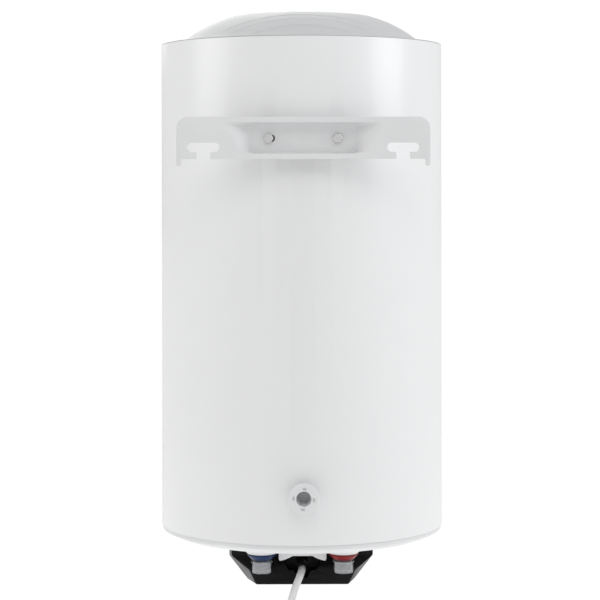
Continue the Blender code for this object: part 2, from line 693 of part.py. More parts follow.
def pipe_fittings(blue, red, clear):
    inside = PIPE_RADIUS + GAP
    for name, side, paint in (("cold_collar", 1, blue), ("hot_collar", -1, red)):
        profile = [(inside, BOSS_END - GAP), (BOSS_RADIUS, BOSS_END - GAP),
                   (BOSS_RADIUS, BOSS_END - GAP - COLLAR_EDGE), (COLLAR_END_RADIUS, COLLAR_END),
                   (inside, COLLAR_END)]
        place(name, turned(name, profile, 24), paint, pipe_place(side))
    bore = THREAD_CAP_RADIUS - THREAD_CAP_WALL
    floor = PIPE_END - THREAD_CAP_ROOM
    foot = floor - THREAD_CAP_FLOOR
    lip = THREAD_CAP_TOP - THREAD_CAP_LIP
    profile = [(0, foot), (bore, foot), (THREAD_CAP_RADIUS, foot + THREAD_CAP_WALL), (THREAD_CAP_RADIUS, lip),
               (THREAD_CAP_LIP_RADIUS, lip), (THREAD_CAP_LIP_RADIUS, THREAD_CAP_TOP), (bore, THREAD_CAP_TOP),
               (bore, floor), (0, floor)]
    for name, side in (("cold_thread_cap", 1), ("hot_thread_cap", -1)):
        place(name, turned(name, profile, 24), clear, pipe_place(side))


# ---------------------------------------------------------------- flange and heating parts
def flange_bolt_places():
    turns = [2 * math.pi * (index + 0.5) / FLANGE_BOLTS for index in range(FLANGE_BOLTS)]
    return [(FLANGE_BOLT_CIRCLE * math.sin(turn), FLANGE_FORWARD + FLANGE_BOLT_CIRCLE * math.cos(turn), 0)
            for turn in turns]


def element_legs(side):
    return [(side * ELEMENT_SIDE, FLANGE_FORWARD + reach * ELEMENT_LEGS / 2) for reach in (-1, 1)]


def flange(steel, rubber):
    plate = place("flange_plate", disc("flange_plate", FLANGE_RADIUS, FLANGE_FOOT, FLANGE_TOP, 24), steel,
                  (0, FLANGE_FORWARD, 0))
    gasket = place("flange_gasket", ring("flange_gasket", NECK_BORE + GAP, FLANGE_RADIUS, FLANGE_TOP + GAP,
                                         -NECK_DROP - GAP, 24), rubber, (0, FLANGE_FORWARD, 0))
    through = (FLANGE_FOOT - 0.005, -NECK_DROP + 0.005)
    for body in (plate, gasket):
        drill(body, flange_bolt_places(), FLANGE_BOLT_RADIUS + GAP, *through)
    legs = [(*leg, 0) for side in (-1, 1) for leg in element_legs(side)]
    drill(plate, legs, ELEMENT_RADIUS + GAP, *through)
    drill(plate, [(0, FLANGE_FORWARD + POCKET_PLACE, 0)], POCKET_RADIUS + GAP, *through)
    drill(plate, [(0, FLANGE_FORWARD, 0)], ANODE_STEM + GAP, *through)


def flange_bolts(steel):
    shank_top = -NECK_DROP + NECK_RING
    seat = FLANGE_FOOT - GAP
    root = seat - FLANGE_BOLT_HEAD / 2
    shank = [(0, root), (FLANGE_BOLT_RADIUS, root), (FLANGE_BOLT_RADIUS, shank_top), (0, shank_top)]
    bolt = turned("flange_bolt", shank, 12)
    hexagon = prism("bolt_head", across_flats(FLANGE_BOLT_ACROSS), seat - FLANGE_BOLT_HEAD, seat)
    bolt.materials.append(steel)
    for index, spot in enumerate(flange_bolt_places()):
        body = place(f"flange_bolt_{index + 1}", bolt, at=spot)
        boolean(body, place("bolt_head", hexagon, at=spot), "UNION")


def heating_parts(copper, magnesium, steel):
    bend = ELEMENT_LEGS / 2
    for index, side in enumerate((-1, 1)):
        front, back = element_legs(side)
        foot = FLANGE_FOOT - ELEMENT_STUB
        centre = ELEMENT_TOP[index] - bend
        line = [(*front, foot), (*front, centre / 2)]
        for step in range(9):
            turn = math.pi * step / 8
            line.append((front[0], FLANGE_FORWARD - bend * math.cos(turn), centre + bend * math.sin(turn)))
        line += [(*back, centre / 2), (*back, foot)]
        tube(f"heating_element_{index + 1}", line, ELEMENT_RADIUS, copper)
    stem = FLANGE_FOOT - ANODE_STUB
    shoulder = FLANGE_TOP + ANODE_POINT
    rod = [(0, stem), (ANODE_STEM, stem), (ANODE_STEM, shoulder), (ANODE_RADIUS, shoulder),
           (ANODE_RADIUS, ANODE_TOP - ANODE_POINT), (ANODE_RADIUS - ANODE_POINT, ANODE_TOP), (0, ANODE_TOP)]
    place("magnesium_anode", turned("magnesium_anode", rod, 16), magnesium, (0, FLANGE_FORWARD, 0))
    inside = POCKET_RADIUS - POCKET_WALL
    mouth = FLANGE_FOOT - POCKET_STUB
    pocket = [(0, POCKET_TOP), (POCKET_RADIUS, POCKET_TOP), (POCKET_RADIUS, mouth), (inside, mouth),
              (inside, POCKET_TOP - POCKET_WALL), (0, POCKET_TOP - POCKET_WALL)]
    place("probe_pocket", turned("probe_pocket", pocket, 12), steel, (0, FLANGE_FORWARD + POCKET_PLACE, 0))


# ---------------------------------------------------------------- wall bracket
def bracket_outline():
    """The flat sheet's edge from the top middle clockwise: right half, then its mirror image."""
    side = BRACKET_WIDTH / 2
    slot = HOOK_SPACING / 2
    mouth = SLOT_MOUTH / 2
    slot_foot = HOOK_LINE - SLOT_HEIGHT
    end = SLOT_LENGTH / 2
    foot = BRACKET_FOOT
    tip = foot - FINGER_DROP
    corners = [((side, BRACKET_TOP), BRACKET_CORNER), ((side, tip), FINGER_WIDTH * 0.45),
               ((side - FINGER_WIDTH, tip), FINGER_WIDTH * 0.45), ((side - FINGER_WIDTH, foot), 0.0012),
               ((slot + mouth, foot), 0.0010), ((slot + mouth, slot_foot), 0.0008),
               ((slot + end, slot_foot), SLOT_HEIGHT * 0.48), ((slot + end, HOOK_LINE), SLOT_HEIGHT * 0.48),
               ((slot - end, HOOK_LINE), SLOT_HEIGHT * 0.48), ((slot - end, slot_foot), SLOT_HEIGHT * 0.48),
               ((slot - mouth, slot_foot), 0.0008), ((slot - mouth, foot), 0.0010)]
    points = mirrored([spot for spot, _ in corners])
    radii = [radius for _, radius in corners]
    return rounded(points, radii + radii[::-1], 3)


def web_outline(grow):
    """The pressed recess: its end walls lean out towards the wall's side, and an upper tail runs on."""
    side = WEB_WIDTH / 2
    ramp = side + grow * WEB_RAMP
    lean = grow * WEB_WALL
    tail = side + grow * (WEB_RAMP + 0.014)
    half = [(0, WEB_TOP + lean), (side, WEB_TOP + lean), (tail, WEB_TOP + lean),
            (tail - grow * 0.004, WEB_MIDDLE + 0.010 * grow + (1 - grow) * 0.008), (ramp, WEB_MIDDLE),
            (ramp - grow * 0.003, WEB_FOOT + 0.004), (side, WEB_FOOT - lean), (0, WEB_FOOT - lean)]
    return half + [(-x, z) for x, z in reversed(half[1:-1])]


def wall_bracket(white):
    """One pressed sheet: ears on the wall's plane, and a recessed web that is bolted to the hanger."""
    wall = AXIS_BACK
    deep = WEB_BACK + BRACKET_SHEET
    form = bmesh.new()
    edge = [form.verts.new((x, wall, z)) for x, z in bracket_outline()]
    rim = [form.verts.new((x, wall, z)) for x, z in web_outline(1)]
    floor = [form.verts.new((x, deep, z)) for x, z in web_outline(0)]
    loops = []
    for line in (edge, rim):
        loops += [form.edges.new((line[index - 1], line[index])) for index in range(len(line))]
    bmesh.ops.triangle_fill(form, edges=loops, use_beauty=True)
    form.faces.new(floor)
    for index in range(len(rim)):
        form.faces.new((rim[index - 1], rim[index], floor[index], floor[index - 1]))
    bmesh.ops.recalc_face_normals(form, faces=form.faces)
    foremost = max(form.faces, key=lambda face: face.calc_center_median().y * abs(face.normal.y))
    if foremost.normal.y < 0:
        bmesh.ops.reverse_faces(form, faces=form.faces)
    mesh = bpy.data.meshes.new("wall_bracket")
    form.to_mesh(mesh)
    form.free()
    body = place("wall_bracket", mesh, white)
    sheet = body.modifiers.new("sheet", "SOLIDIFY")
    sheet.thickness = BRACKET_SHEET
    sheet.offset = -1
    sheet.use_even_offset = True
    for side in (-1, 1):
        middle = side * (BOLT_SLOT_INNER + BOLT_SLOT_LENGTH / 2)
        ends = (middle - BOLT_SLOT_LENGTH / 2, middle + BOLT_SLOT_LENGTH / 2)
        low = WEB_MIDDLE - BOLT_SLOT_HEIGHT / 2
        high = WEB_MIDDLE + BOLT_SLOT_HEIGHT / 2
        corners = [(ends[0], low), (ends[1], low), (ends[1], high), (ends[0], high)]
        outline = rounded(corners, [BOLT_SLOT_HEIGHT * 0.49] * 4, 4)
        boolean(body, place("bolt_slot", prism("bolt_slot", outline, WEB_BACK - PAST, WEB_BACK + PAST, "Y")))


def bracket_fastening(zinc, steel):
    seat = WEB_BACK + BRACKET_SHEET + GAP
    for name, side in (("bracket_bolt_left", -1), ("bracket_bolt_right", 1)):
        spot = (side * BOLT_SPACING / 2, seat, WEB_MIDDLE)
        shank = disc(name, BOLT_RADIUS, -BOLT_LENGTH, BOLT_HEAD / 2, 16)
        body = facing_wall(place(name, shank, zinc, spot))
        head = prism("hex_head", across_flats(BOLT_ACROSS), 0, BOLT_HEAD)
        boolean(body, facing_wall(place("hex_head", head, at=spot)), "UNION")
    near = TANK_RADIUS + GAP
    half = (HANGER_WIDTH / 2, HANGER_HEIGHT / 2)
    plate = block("tank_hanger", (-half[0], near, WEB_MIDDLE - half[1]),
                  (half[0], near + HANGER_SHEET, WEB_MIDDLE + half[1]))
    body = place("tank_hanger", plate, steel)
    for side in (-1, 1):
        spot = (side * BOLT_SPACING / 2, near, WEB_MIDDLE)
        post = disc("post", POST_RADIUS, HANGER_SHEET / 2, WEB_BACK - GAP - near)
        boolean(body, facing_wall(place("post", post, at=spot)), "UNION")
        reach = seat - near
        hole = disc("post_hole", BOLT_RADIUS + GAP / 3, reach - BOLT_LENGTH - GAP, reach + PAST, 16)
        boolean(body, facing_wall(place("post_hole", hole, at=spot)))


def wall_spacer(white, plastic):
    """A screwed foot: it turns in the bush to set the distance to the wall."""
    foot = -SPACER_LENGTH
    edge = SPACER_EDGE
    profile = [(0, foot), (SPACER_STEM - edge, foot), (SPACER_STEM, foot + edge), (SPACER_STEM, -SPACER_DISC),
               (SPACER_RADIUS, -SPACER_DISC), (SPACER_RADIUS, -edge), (SPACER_RADIUS - edge, 0),
               (SPACER_BORE, 0), (SPACER_BORE_END, -SPACER_BORE_DEPTH), (0, -SPACER_BORE_DEPTH)]
    spot = (0, AXIS_BACK, SPACER_HEIGHT)
    body = facing_wall(place("wall_spacer", turned("wall_spacer", profile, 24), white, spot))
    width, length, depth = SPACER_NOTCH
    for index in range(4):
        notch = block("notch", (SPACER_NOTCH_PLACE - length / 2, -width / 2, -depth),
                      (SPACER_NOTCH_PLACE + length / 2, width / 2, PAST))
        tool = place("notch", notch, at=spot)
        tool.rotation_euler = (-math.pi / 2, math.radians(90 * index + SPACER_NOTCH_TURN), 0)
        tool.rotation_mode = "XYZ"
        boolean(body, tool)
    inner = math.sqrt((JACKET_INNER - GAP) ** 2 - BUSH_RADIUS ** 2) * math.cos(math.pi / SHELL_STEPS)
    bush = ring("spacer_bush", SPACER_STEM + GAP, BUSH_RADIUS, BUSH_START - AXIS_BACK,
                inner - GAP - AXIS_BACK)
    facing_wall(place("spacer_bush", bush, plastic, spot))


# ---------------------------------------------------------------- service cover
def cover_section(lower, back, thinner):
    """The cover's outline at one depth: straight sides from the top, then its two slanted corners."""
    outline = inset(mirrored([(lower[0][0], COVER_TOP), *lower]), thinner)
    top = COVER_TOP + (PAST if thinner else 0)
    outline[0] = (outline[0][0], top)
    outline[-1] = (outline[-1][0], top)
    return [(x, back, z) for x, z in outline]


def recess_outline(grow):
    outline = mirrored([(RECESS_OUTLINE[0][0], COVER_TOP + 3 * PAST), *RECESS_OUTLINE])
    return inset(outline, -grow) if grow else outline


def step_outline(grow):
    """Side view of the room that is left free behind the back wall's upper part."""
    lower = grow * 0.4
    past = COVER_BACK + 3 * PAST
    return [(COVER_STEP_BACK - grow, 0), (COVER_STEP_BACK - grow, COVER_STEP_TOP - lower),
            (COVER_BACK - grow, COVER_STEP_FOOT - lower), (past, COVER_STEP_FOOT - lower), (past, 0)]


def cover_shell(name, thinner):
    """The cover's outer form, or with a wall's thickness taken off, the room inside it."""
    return place(name, loft(name, cover_section(COVER_BACK_OUTLINE, COVER_BACK - thinner, thinner),
                            cover_section(COVER_FRONT_OUTLINE, COVER_FRONT + thinner, thinner)))


def cord_slot_outline():
    """Open-topped slot with a round foot, so that the cover slides down past the fixed gland."""
    radius = GLAND_RADIUS + 2 * GAP
    half = [(radius, COVER_TOP + 3 * PAST), (radius, GLAND_HEIGHT)]
    for degrees in (30, 60, 90):
        turn = math.radians(degrees)
        half.append((radius * math.cos(turn), GLAND_HEIGHT - radius * math.sin(turn)))
    return half + [(-x, z) for x, z in reversed(half[:-1])]


def service_cover(black):
    body = cover_shell("service_cover", 0)
    body.data.materials.append(black)
    hollow = cover_shell("cover_hollow", COVER_WALL)
    wide = COVER_FRONT_OUTLINE[0][0] + PAST
    under = COVER_FRONT_OUTLINE[-1][1] - PAST
    for target, grow in ((body, 0), (hollow, COVER_WALL)):
        boolean(target, place("back_step", prism("back_step", step_outline(grow), -wide, wide, "X")))
        recess = prism("recess", recess_outline(grow), RECESS_FLOOR - grow, COVER_BACK + 3 * PAST, "Y")
        boolean(target, place("recess", recess))
        pocket = disc("knob_pocket", KNOB_POCKET_RADIUS + grow, under, KNOB_POCKET_TOP + grow, 32)
        boolean(target, place("knob_pocket", pocket, at=(0, KNOB_FORWARD, 0)))
    for side in (-1, 1):
        seat = disc("screw_boss", PILLAR_RADIUS + COVER_WALL, under, SCREW_SEAT + COVER_WALL, 16)
        boolean(hollow, place("screw_boss", seat, at=screw_place(side)))
        sink = disc("screw_sink", SCREW_HEAD_RADIUS + GAP, under, SCREW_SEAT, 16)
        boolean(body, place("screw_sink", sink, at=screw_place(side)))
        hole = disc("screw_way", SCREW_RADIUS + GAP, under, 0, 12)
        boolean(body, place("screw_way", hole, at=screw_place(side)))
    boolean(body, hollow)
    way = disc("shaft_way", SHAFT_RADIUS + 3 * GAP, under, 0, 16)
    boolean(body, place("shaft_way", way, at=(0, KNOB_FORWARD, 0)))
    lens = disc("lens_way", LENS_RADIUS + GAP, -PAST, PAST, 16)
    boolean(body, facing_wall(place("lens_way", lens, at=(0, COVER_FRONT, LENS_HEIGHT))))
    slot = prism("cord_slot", cord_slot_outline(), 0, COVER_BACK - 2 * COVER_WALL, "Y")
    boolean(body, place("cord_slot", slot))


def cover_screws(zinc):
    """Pan head in the sink under the seat, shank up through the cover into the pillar."""
    seat = SCREW_SEAT - GAP
    face = seat - SCREW_HEAD
    tip = SCREW_SEAT + SCREW_LENGTH
    profile = [(0, face), (SCREW_HEAD_RADIUS * 0.8, face), (SCREW_HEAD_RADIUS, seat - SCREW_HEAD * 0.4),
               (SCREW_HEAD_RADIUS, seat), (SCREW_RADIUS, seat), (SCREW_RADIUS, tip), (0, tip)]
    for name, side in (("cover_screw_left", -1), ("cover_screw_right", 1)):
        place(name, turned(name, profile, 12), zinc, screw_place(side))


# ---------------------------------------------------------------- controls
def knob(grey):
    bore = SHAFT_RADIUS + GAP
    depth = SHAFT_END - GAP
    face = KNOB_END + KNOB_GRIP[1]
    edge = KNOB_EDGE
    profile = [(0, face), (KNOB_RADIUS - edge, face), (KNOB_RADIUS, face + edge), (KNOB_RADIUS, KNOB_TOP),
               (0, KNOB_TOP)]
    body = place("thermostat_knob", turned("thermostat_knob", profile, 24), grey, (0, KNOB_FORWARD, 0))
    width = KNOB_GRIP[0] / 2
    length = KNOB_RADIUS - edge / 2
    grip = block("knob_grip", (-width, -length, KNOB_END), (width, length, face + edge / 2))
    boolean(body, place("knob_grip", grip, at=(0, KNOB_FORWARD, 0)), "UNION")
    hole = disc("knob_bore", bore, depth, KNOB_TOP + PAST, 16)
    boolean(body, place("knob_bore", hole, at=(0, KNOB_FORWARD, 0)))


def thermostat_parts(plastic, steel, brass):
    half_x, half_y = THERMOSTAT_SIZE[0] / 2, THERMOSTAT_SIZE[1] / 2
    foot = THERMOSTAT_FOOT
    case = block("thermostat", (-half_x, KNOB_FORWARD - half_y, foot),
                 (half_x, KNOB_FORWARD + half_y, THERMOSTAT_TOP))
    body = place("thermostat", case, plastic)
    hole = disc("shaft_seat", SHAFT_RADIUS + GAP, foot - PAST, foot + SHAFT_SEAT, 16)
    boolean(body, place("shaft_seat", hole, at=(0, KNOB_FORWARD, 0)))
    shaft = disc("thermostat_shaft", SHAFT_RADIUS, SHAFT_END, foot + SHAFT_SEAT - GAP, 16)
    place("thermostat_shaft", shaft, brass, (0, KNOB_FORWARD, 0))

    sheet = CONTROL_SHEET
    high = FLANGE_FOOT - GAP
    low = THERMOSTAT_TOP + GAP
    inner = FLANGE_FORWARD - CONTROL_PLACE
    outer = KNOB_FORWARD - half_y
    line = [(inner + CONTROL_FOOT, high), (inner, high), (inner, low + sheet), (outer, low + sheet),
            (outer, low), (inner + sheet, low), (inner + sheet, high - sheet),
            (inner + CONTROL_FOOT, high - sheet)]
    strip = prism("control_bracket", line, -CONTROL_WIDTH / 2, CONTROL_WIDTH / 2, "X")
    place("control_bracket", strip, steel)


def cutout_parts(plastic, red):
    spot = (*CUTOUT_PLACE, 0)
    foot = CUTOUT_TOP - CUTOUT_HEIGHT
    roof = foot + BUTTON_SEAT
    body = place("thermal_cutout", disc("thermal_cutout", CUTOUT_RADIUS, foot, CUTOUT_TOP), plastic, spot)
    hole = disc("button_seat", BUTTON_RADIUS + GAP, foot - PAST, roof, 16)
    boolean(body, place("button_seat", hole, at=spot))
    button = disc("reset_button", BUTTON_RADIUS, foot - BUTTON_PROUD, roof - BUTTON_TRAVEL - GAP, 16)
    place("reset_button", button, red, spot)


def indicator_lens(amber):
    profile = [(0, -COVER_WALL), (LENS_RADIUS, -COVER_WALL), (LENS_RADIUS, GAP),
               (LENS_RADIUS + LENS_LIP, GAP), (LENS_RADIUS * 0.6, LENS_CROWN * 0.8), (0, LENS_CROWN)]
    form = turned("indicator_lens", profile, 16)
    body = place("indicator_lens", form, amber, (0, COVER_FRONT, LENS_HEIGHT))
    body.rotation_euler = (math.pi / 2, 0, 0)


def terminal_block(cream):
    x, y, z = TERMINAL_PLACE
    half = [side / 2 for side in TERMINAL_SIZE]
    body = place("terminal_block", block("terminal_block", (x - half[0], y - half[1], z - half[2]),
                                         (x + half[0], y + half[1], z + half[2])), cream)
    radius, depth = TERMINAL_HOLE
    foot = z - half[2]
    screws = [(x + index * TERMINAL_PITCH, y, 0) for index in (-1, 0, 1)]
    drill(body, screws, radius, foot - PAST, foot + depth)


# ---------------------------------------------------------------- cord and wiring
def lead_start(index):
    """The first points of a lead, straight up from one of the terminal block's three screws."""
    x, y, z = TERMINAL_PLACE
    roof = z + TERMINAL_SIZE[2] / 2
    return [(x + index * TERMINAL_PITCH, y, roof + GAP), (x + index * TERMINAL_PITCH, y, roof + 0.004)]


def wiring(brown, blue, green, copper, white):
    """Short insulated leads between the terminals, and the capillary to the probe pocket."""
    x, y, z = TERMINAL_PLACE
    bend = z + TERMINAL_SIZE[2] / 2 + 0.0075
    cut_x, cut_y = CUTOUT_PLACE
    live = lead_start(1) + [(x + 0.0135, y - 0.001, bend), (cut_x - 0.006, cut_y + 0.028, CUTOUT_TOP - 0.004),
                            (cut_x + 0.002, cut_y + 0.012, CUTOUT_TOP + 0.0024),
                            (cut_x, cut_y + 0.004, CUTOUT_TOP + 0.0018)]
    end_x, end_y = element_legs(-1)[1]
    end_z = FLANGE_FOOT - ELEMENT_STUB - 0.002
    neutral = lead_start(0) + [(x + 0.0005, y - 0.003, bend), (end_x, end_y + 0.008, end_z - 0.0075),
                               (end_x, end_y, end_z)]
    earth = lead_start(-1) + [(x - 0.0125, y - 0.006, FLANGE_FOOT - 0.0111),
                              (x - 0.0125, y - 0.008, FLANGE_FOOT - 2 * GAP)]
    for name, paint, route in (("lead_live", brown, live), ("lead_neutral", blue, neutral),
                               ("lead_earth", green, earth)):
        tube(name, smooth(route, 2 * len(route)), LEAD_RADIUS, paint, 1)

    pocket_y = FLANGE_FORWARD + POCKET_PLACE
    route = [(0.012, KNOB_FORWARD + 0.0162, -0.058), (0.020, KNOB_FORWARD + 0.030, -0.052),
             (0.014, FLANGE_FORWARD + 0.008, -0.036), (0.003, FLANGE_FORWARD + 0.023, -0.026),
             (0, pocket_y, -0.012), (0, pocket_y, 0.05)]
    tube("capillary", smooth(route, 2 * len(route)), CAPILLARY_RADIUS, copper, 1)
    route = [(0, GLAND_START - GAP, GLAND_HEIGHT), (-0.001, 0.004, GLAND_HEIGHT + 0.0002),
             (-0.003, -0.002, GLAND_HEIGHT + 0.0004)]
    tube("inner_cord", smooth(route, 2 * len(route)), CORD_RADIUS, white)


def cord_gland(rubber):
    form = ring("cord_gland", CORD_RADIUS + GAP, GLAND_RADIUS, GLAND_START, GLAND_END)
    facing_wall(place("cord_gland", form, rubber, (0, 0, GLAND_HEIGHT)))


def free_cord(white):
    tube("power_cord", smooth(CORD_ROUTE, 18), CORD_RADIUS, white)
    tube("cord_tail", smooth(TAIL_ROUTE, 6), CORD_RADIUS, white)
    section = [(COIL_RADIUS + COIL_BUNDLE * math.cos(math.radians(45 * k + 22.5)),
                COIL_BUNDLE * math.sin(math.radians(45 * k + 22.5))) for k in range(8)]
    facing_wall(place("cord_coil", turned("cord_coil", section, 28), white, COIL_CENTRE))


def coil_tie(black):
    inside = COIL_BUNDLE + 2 * GAP
    band = ring("coil_tie", inside, inside + TIE_WALL, -TIE_WIDTH / 2, TIE_WIDTH / 2, 16)
    x, y, z = COIL_CENTRE
    body = place("coil_tie", band, black, (x, y, z + COIL_RADIUS))
    body.rotation_euler = (0, math.pi / 2, 0)


def plug(white, nickel):
    """Earthed two-pin plug that hangs from the cord's end, pins down."""
    x, y, z = TAIL_ROUTE[-1]
    spot = (x, y, z - GAP)
    profile = [(0, 0), (PLUG_NECK_RADIUS, 0), (PLUG_NECK_RADIUS, -PLUG_LENGTH * 0.28),
               (PLUG_RADIUS * 0.72, -PLUG_LENGTH * 0.42), (PLUG_RADIUS * 0.95, -PLUG_LENGTH * 0.60),
               (PLUG_RADIUS, -PLUG_LENGTH * 0.68), (PLUG_RADIUS, -PLUG_LENGTH), (0, -PLUG_LENGTH)]
    place("plug", turned("plug", profile, 20), white, spot)
    for name, side in (("plug_pin_left", -1), ("plug_pin_right", 1)):
        root = -PLUG_LENGTH - GAP
        tip = -PLUG_LENGTH - PLUG_PIN_LENGTH
        pin = [(0, root), (PLUG_PIN_RADIUS, root), (PLUG_PIN_RADIUS, tip + PLUG_PIN_POINT),
               (PLUG_PIN_RADIUS - PLUG_PIN_POINT, tip), (0, tip)]
        place(name, turned(name, pin, 12), nickel, (x + side * PLUG_PIN_SPACING / 2, y, z - GAP))


# ---------------------------------------------------------------- the heater
def main():
    clear_scene()
    axis = bpy.data.objects.new("TANK_AXIS", None)
    bpy.context.scene.collection.objects.link(axis)
    axis.location = (0, -AXIS_BACK, -HOOK_LINE)

    enamel_white = material("white_enamel", (0.80, 0.80, 0.81), 0.28)
    bracket_white = material("white_powder_coat", (0.66, 0.66, 0.67), 0.5)
    cap_white = material("white_plastic", (0.72, 0.72, 0.72), 0.4)
    cap_grey = material("light_grey_plastic", (0.50, 0.50, 0.51), 0.42)
    black = material("black_plastic", (0.010, 0.010, 0.011), 0.35)
    knob_grey = material("dark_grey_plastic", (0.06, 0.06, 0.065), 0.4)
    blue = material("blue_plastic", (0.012, 0.035, 0.100), 0.35)
    red = material("red_plastic", (0.250, 0.010, 0.012), 0.35)
    clear = material("translucent_plastic", (0.62, 0.64, 0.66), 0.25, alpha=0.6)
    cord_white = material("white_cord", (0.68, 0.68, 0.67), 0.5)
    zinc = material("zinc_plated_steel", (0.62, 0.62, 0.60), 0.3, 1.0)
    steel = material("plain_steel", (0.45, 0.45, 0.46), 0.4, 1.0)
    glass_enamel = material("vitreous_enamel", (0.05, 0.10, 0.22), 0.3)
    foam = material("insulating_foam", (0.72, 0.62, 0.36), 0.9)
    copper = material("copper", (0.72, 0.34, 0.20), 0.3, 1.0)
    magnesium = material("magnesium", (0.55, 0.55, 0.56), 0.6, 0.6)
    brass = material("brass", (0.70, 0.52, 0.22), 0.35, 1.0)
    rubber = material("black_rubber", (0.02, 0.02, 0.02), 0.8)
    amber = material("amber_lens", (0.80, 0.22, 0.03), 0.15)
    cream = material("cream_plastic", (0.70, 0.66, 0.55), 0.5)
    brown = material("brown_insulation", (0.16, 0.06, 0.03), 0.5)
    green = material("green_insulation", (0.10, 0.42, 0.06), 0.5)

    outer_jacket(enamel_white)
    top_cap(cap_grey)
    bottom_cap(cap_white)
    pipe_plate(cap_white)
    inner_tank(glass_enamel)
    insulation(foam)
    water_pipes(steel, cream)
    pipe_fittings(blue, red, clear)
    flange(steel, rubber)
    flange_bolts(zinc)
    heating_parts(copper, magnesium, steel)
    wall_bracket(bracket_white)
    bracket_fastening(zinc, steel)
    wall_spacer(cap_white, cream)
    service_cover(black)
    cover_screws(zinc)
    knob(knob_grey)
    thermostat_parts(cream, zinc, brass)
    cutout_parts(knob_grey, red)
    indicator_lens(amber)
    terminal_block(cream)
    wiring(brown, blue, green, copper, cord_white)
    cord_gland(rubber)
    free_cord(cord_white)
    coil_tie(black)
    plug(cord_white, zinc)


main()
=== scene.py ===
"""Looks of the wall-hung tank water heater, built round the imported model.

Places come from two sets of coordinates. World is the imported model's frame: the wall is y = 0, +Z is up and
the user stands at -Y. Tank coordinates have the same directions, with the origin on the tank's axis at the
height of the jacket's bottom edge.
"""
import json
import math

import bmesh
import bpy
from mathutils import Matrix, Vector


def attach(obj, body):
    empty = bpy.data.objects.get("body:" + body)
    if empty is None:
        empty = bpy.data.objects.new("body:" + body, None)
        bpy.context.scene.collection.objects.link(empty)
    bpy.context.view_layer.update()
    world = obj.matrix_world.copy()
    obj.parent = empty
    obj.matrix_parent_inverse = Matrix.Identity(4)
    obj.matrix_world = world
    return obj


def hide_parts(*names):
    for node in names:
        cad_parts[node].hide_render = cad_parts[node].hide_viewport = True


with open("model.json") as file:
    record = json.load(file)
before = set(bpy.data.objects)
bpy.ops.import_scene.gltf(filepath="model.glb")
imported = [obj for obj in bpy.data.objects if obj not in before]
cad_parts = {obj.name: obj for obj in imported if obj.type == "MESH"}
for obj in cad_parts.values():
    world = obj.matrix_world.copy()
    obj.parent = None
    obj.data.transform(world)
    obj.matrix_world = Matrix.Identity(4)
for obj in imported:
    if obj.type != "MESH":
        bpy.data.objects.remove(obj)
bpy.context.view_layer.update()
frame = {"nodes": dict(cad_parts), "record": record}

NODES = frame["nodes"]

# ---------------------------------------------------------------- sizes repeated from the CAD part, metres
TANK = Vector((0, -0.190, -0.4697))     # the tank coordinates' origin in the world
GAP = 0.0003
JACKET_RADIUS = 0.175
JACKET_SHEET = 0.0010
JACKET_HEIGHT = 0.595
CAP_WALL = 0.0025
CAP_EDGE = 0.0010                       # the top cap's rim where it meets the jacket
DOME_RADIUS = 0.153
CREASE = (0.0888, 0.0355)               # radius and height of the dome's crease
DOME_HEIGHT = 0.0425
SHOULDER_BULGE = 0.0043
CROWN_BULGE = 0.0006
FINE_RIDGES = ((0.103, 0.105), (0.1165, 0.092), (0.1340, 0.064))    # place towards the wall, half length
RAISED_BAR = (0.1315, -0.048, 0.032, 0.0019, 0.0012)                # place, start, end, half width, height
LIP = (0.165, -0.009)
DISH = (0.147, -0.0132)
UPSTAND = 0.010
FLOOR_EDGE = -0.00325                   # the bottom cap's inner floor where it meets the upstand
PIPES = ((1, "cold"), (-1, "hot"))
PIPE_PLACE = (0.050, 0.068)
PIPE_RADIUS = 0.0104
PIPE_BORE = 0.0075
PIPE_END = -0.0485
BOSS = (0.0178, 0.037, -0.0275)         # radius, flare radius, end
BOSS_HOLLOW = 0.0008
PLATE_RADIUS = 0.0390
CAP_ROOM = 0.0021                       # from a pipe's end to the floor of its cap
COLLAR = (0.0178, 0.0122, -0.0278, -0.0350)
CAP = (0.0116, 0.0107, -0.0372, -0.0516)   # outer radius, inner radius, top, bottom
CAP_LIP = (0.0131, 0.0015)
THREAD_PITCH = 0.001814
THREAD_DEPTH = 0.00095
FLANGE = (-0.038, 0.0626)               # forward place, hole in the bottom cap
SKIRT = (0.02925, -0.0390, 0.01225, -0.0330, 0.0575, 0.0600)
SCREWS = (0.054, -0.088, -0.0845)
BRACKET_TOP = 0.4997
BRACKET_FOOT = 0.4508
BRACKET_SIDE = 0.147
BRACKET_SHEET = 0.0020
WEB = (0.4920, 0.4582, 0.0628, 0.020)   # top, foot, half width, ramp
WEB_MIDDLE = (WEB[0] + WEB[1]) / 2
WEB_BACK = 0.1753
WALL = 0.190
SPACER_HEIGHT = 0.0570
KNOB = (-0.076, 0.0170, -0.0806, -0.0915)  # forward place, radius, top, end
CORD_RADIUS = 0.0045
BOLT_SLOT_HALF = 0.0044
BOLT_SLOTS = ((0.0389, 0.0062), (-0.0403, 0.0046))      # middle and half length of each slot in the web
COVER_TOP = DISH[1] - GAP
COVER_BACK = 0.040
COVER_FRONT = -0.110
BACK_OUTLINE = ((0.087, -0.0355), (0.0655, -0.054), (0.057, -0.0717))
FRONT_OUTLINE = ((0.094, -0.0635), (0.0800, -0.0815), (0.0692, -0.0953))
STEP = (0.028, -0.038, -0.051)          # the back wall's upper part: its place, and the slope's top and foot
RECESS = ((0.0225, -0.046), (0.0170, -0.0545), (0.0108, -0.0545), (0.0065, -0.0635))
RECESS_FLOOR = 0.018
POCKET = (0.024, -0.080)
UNDER = -0.115

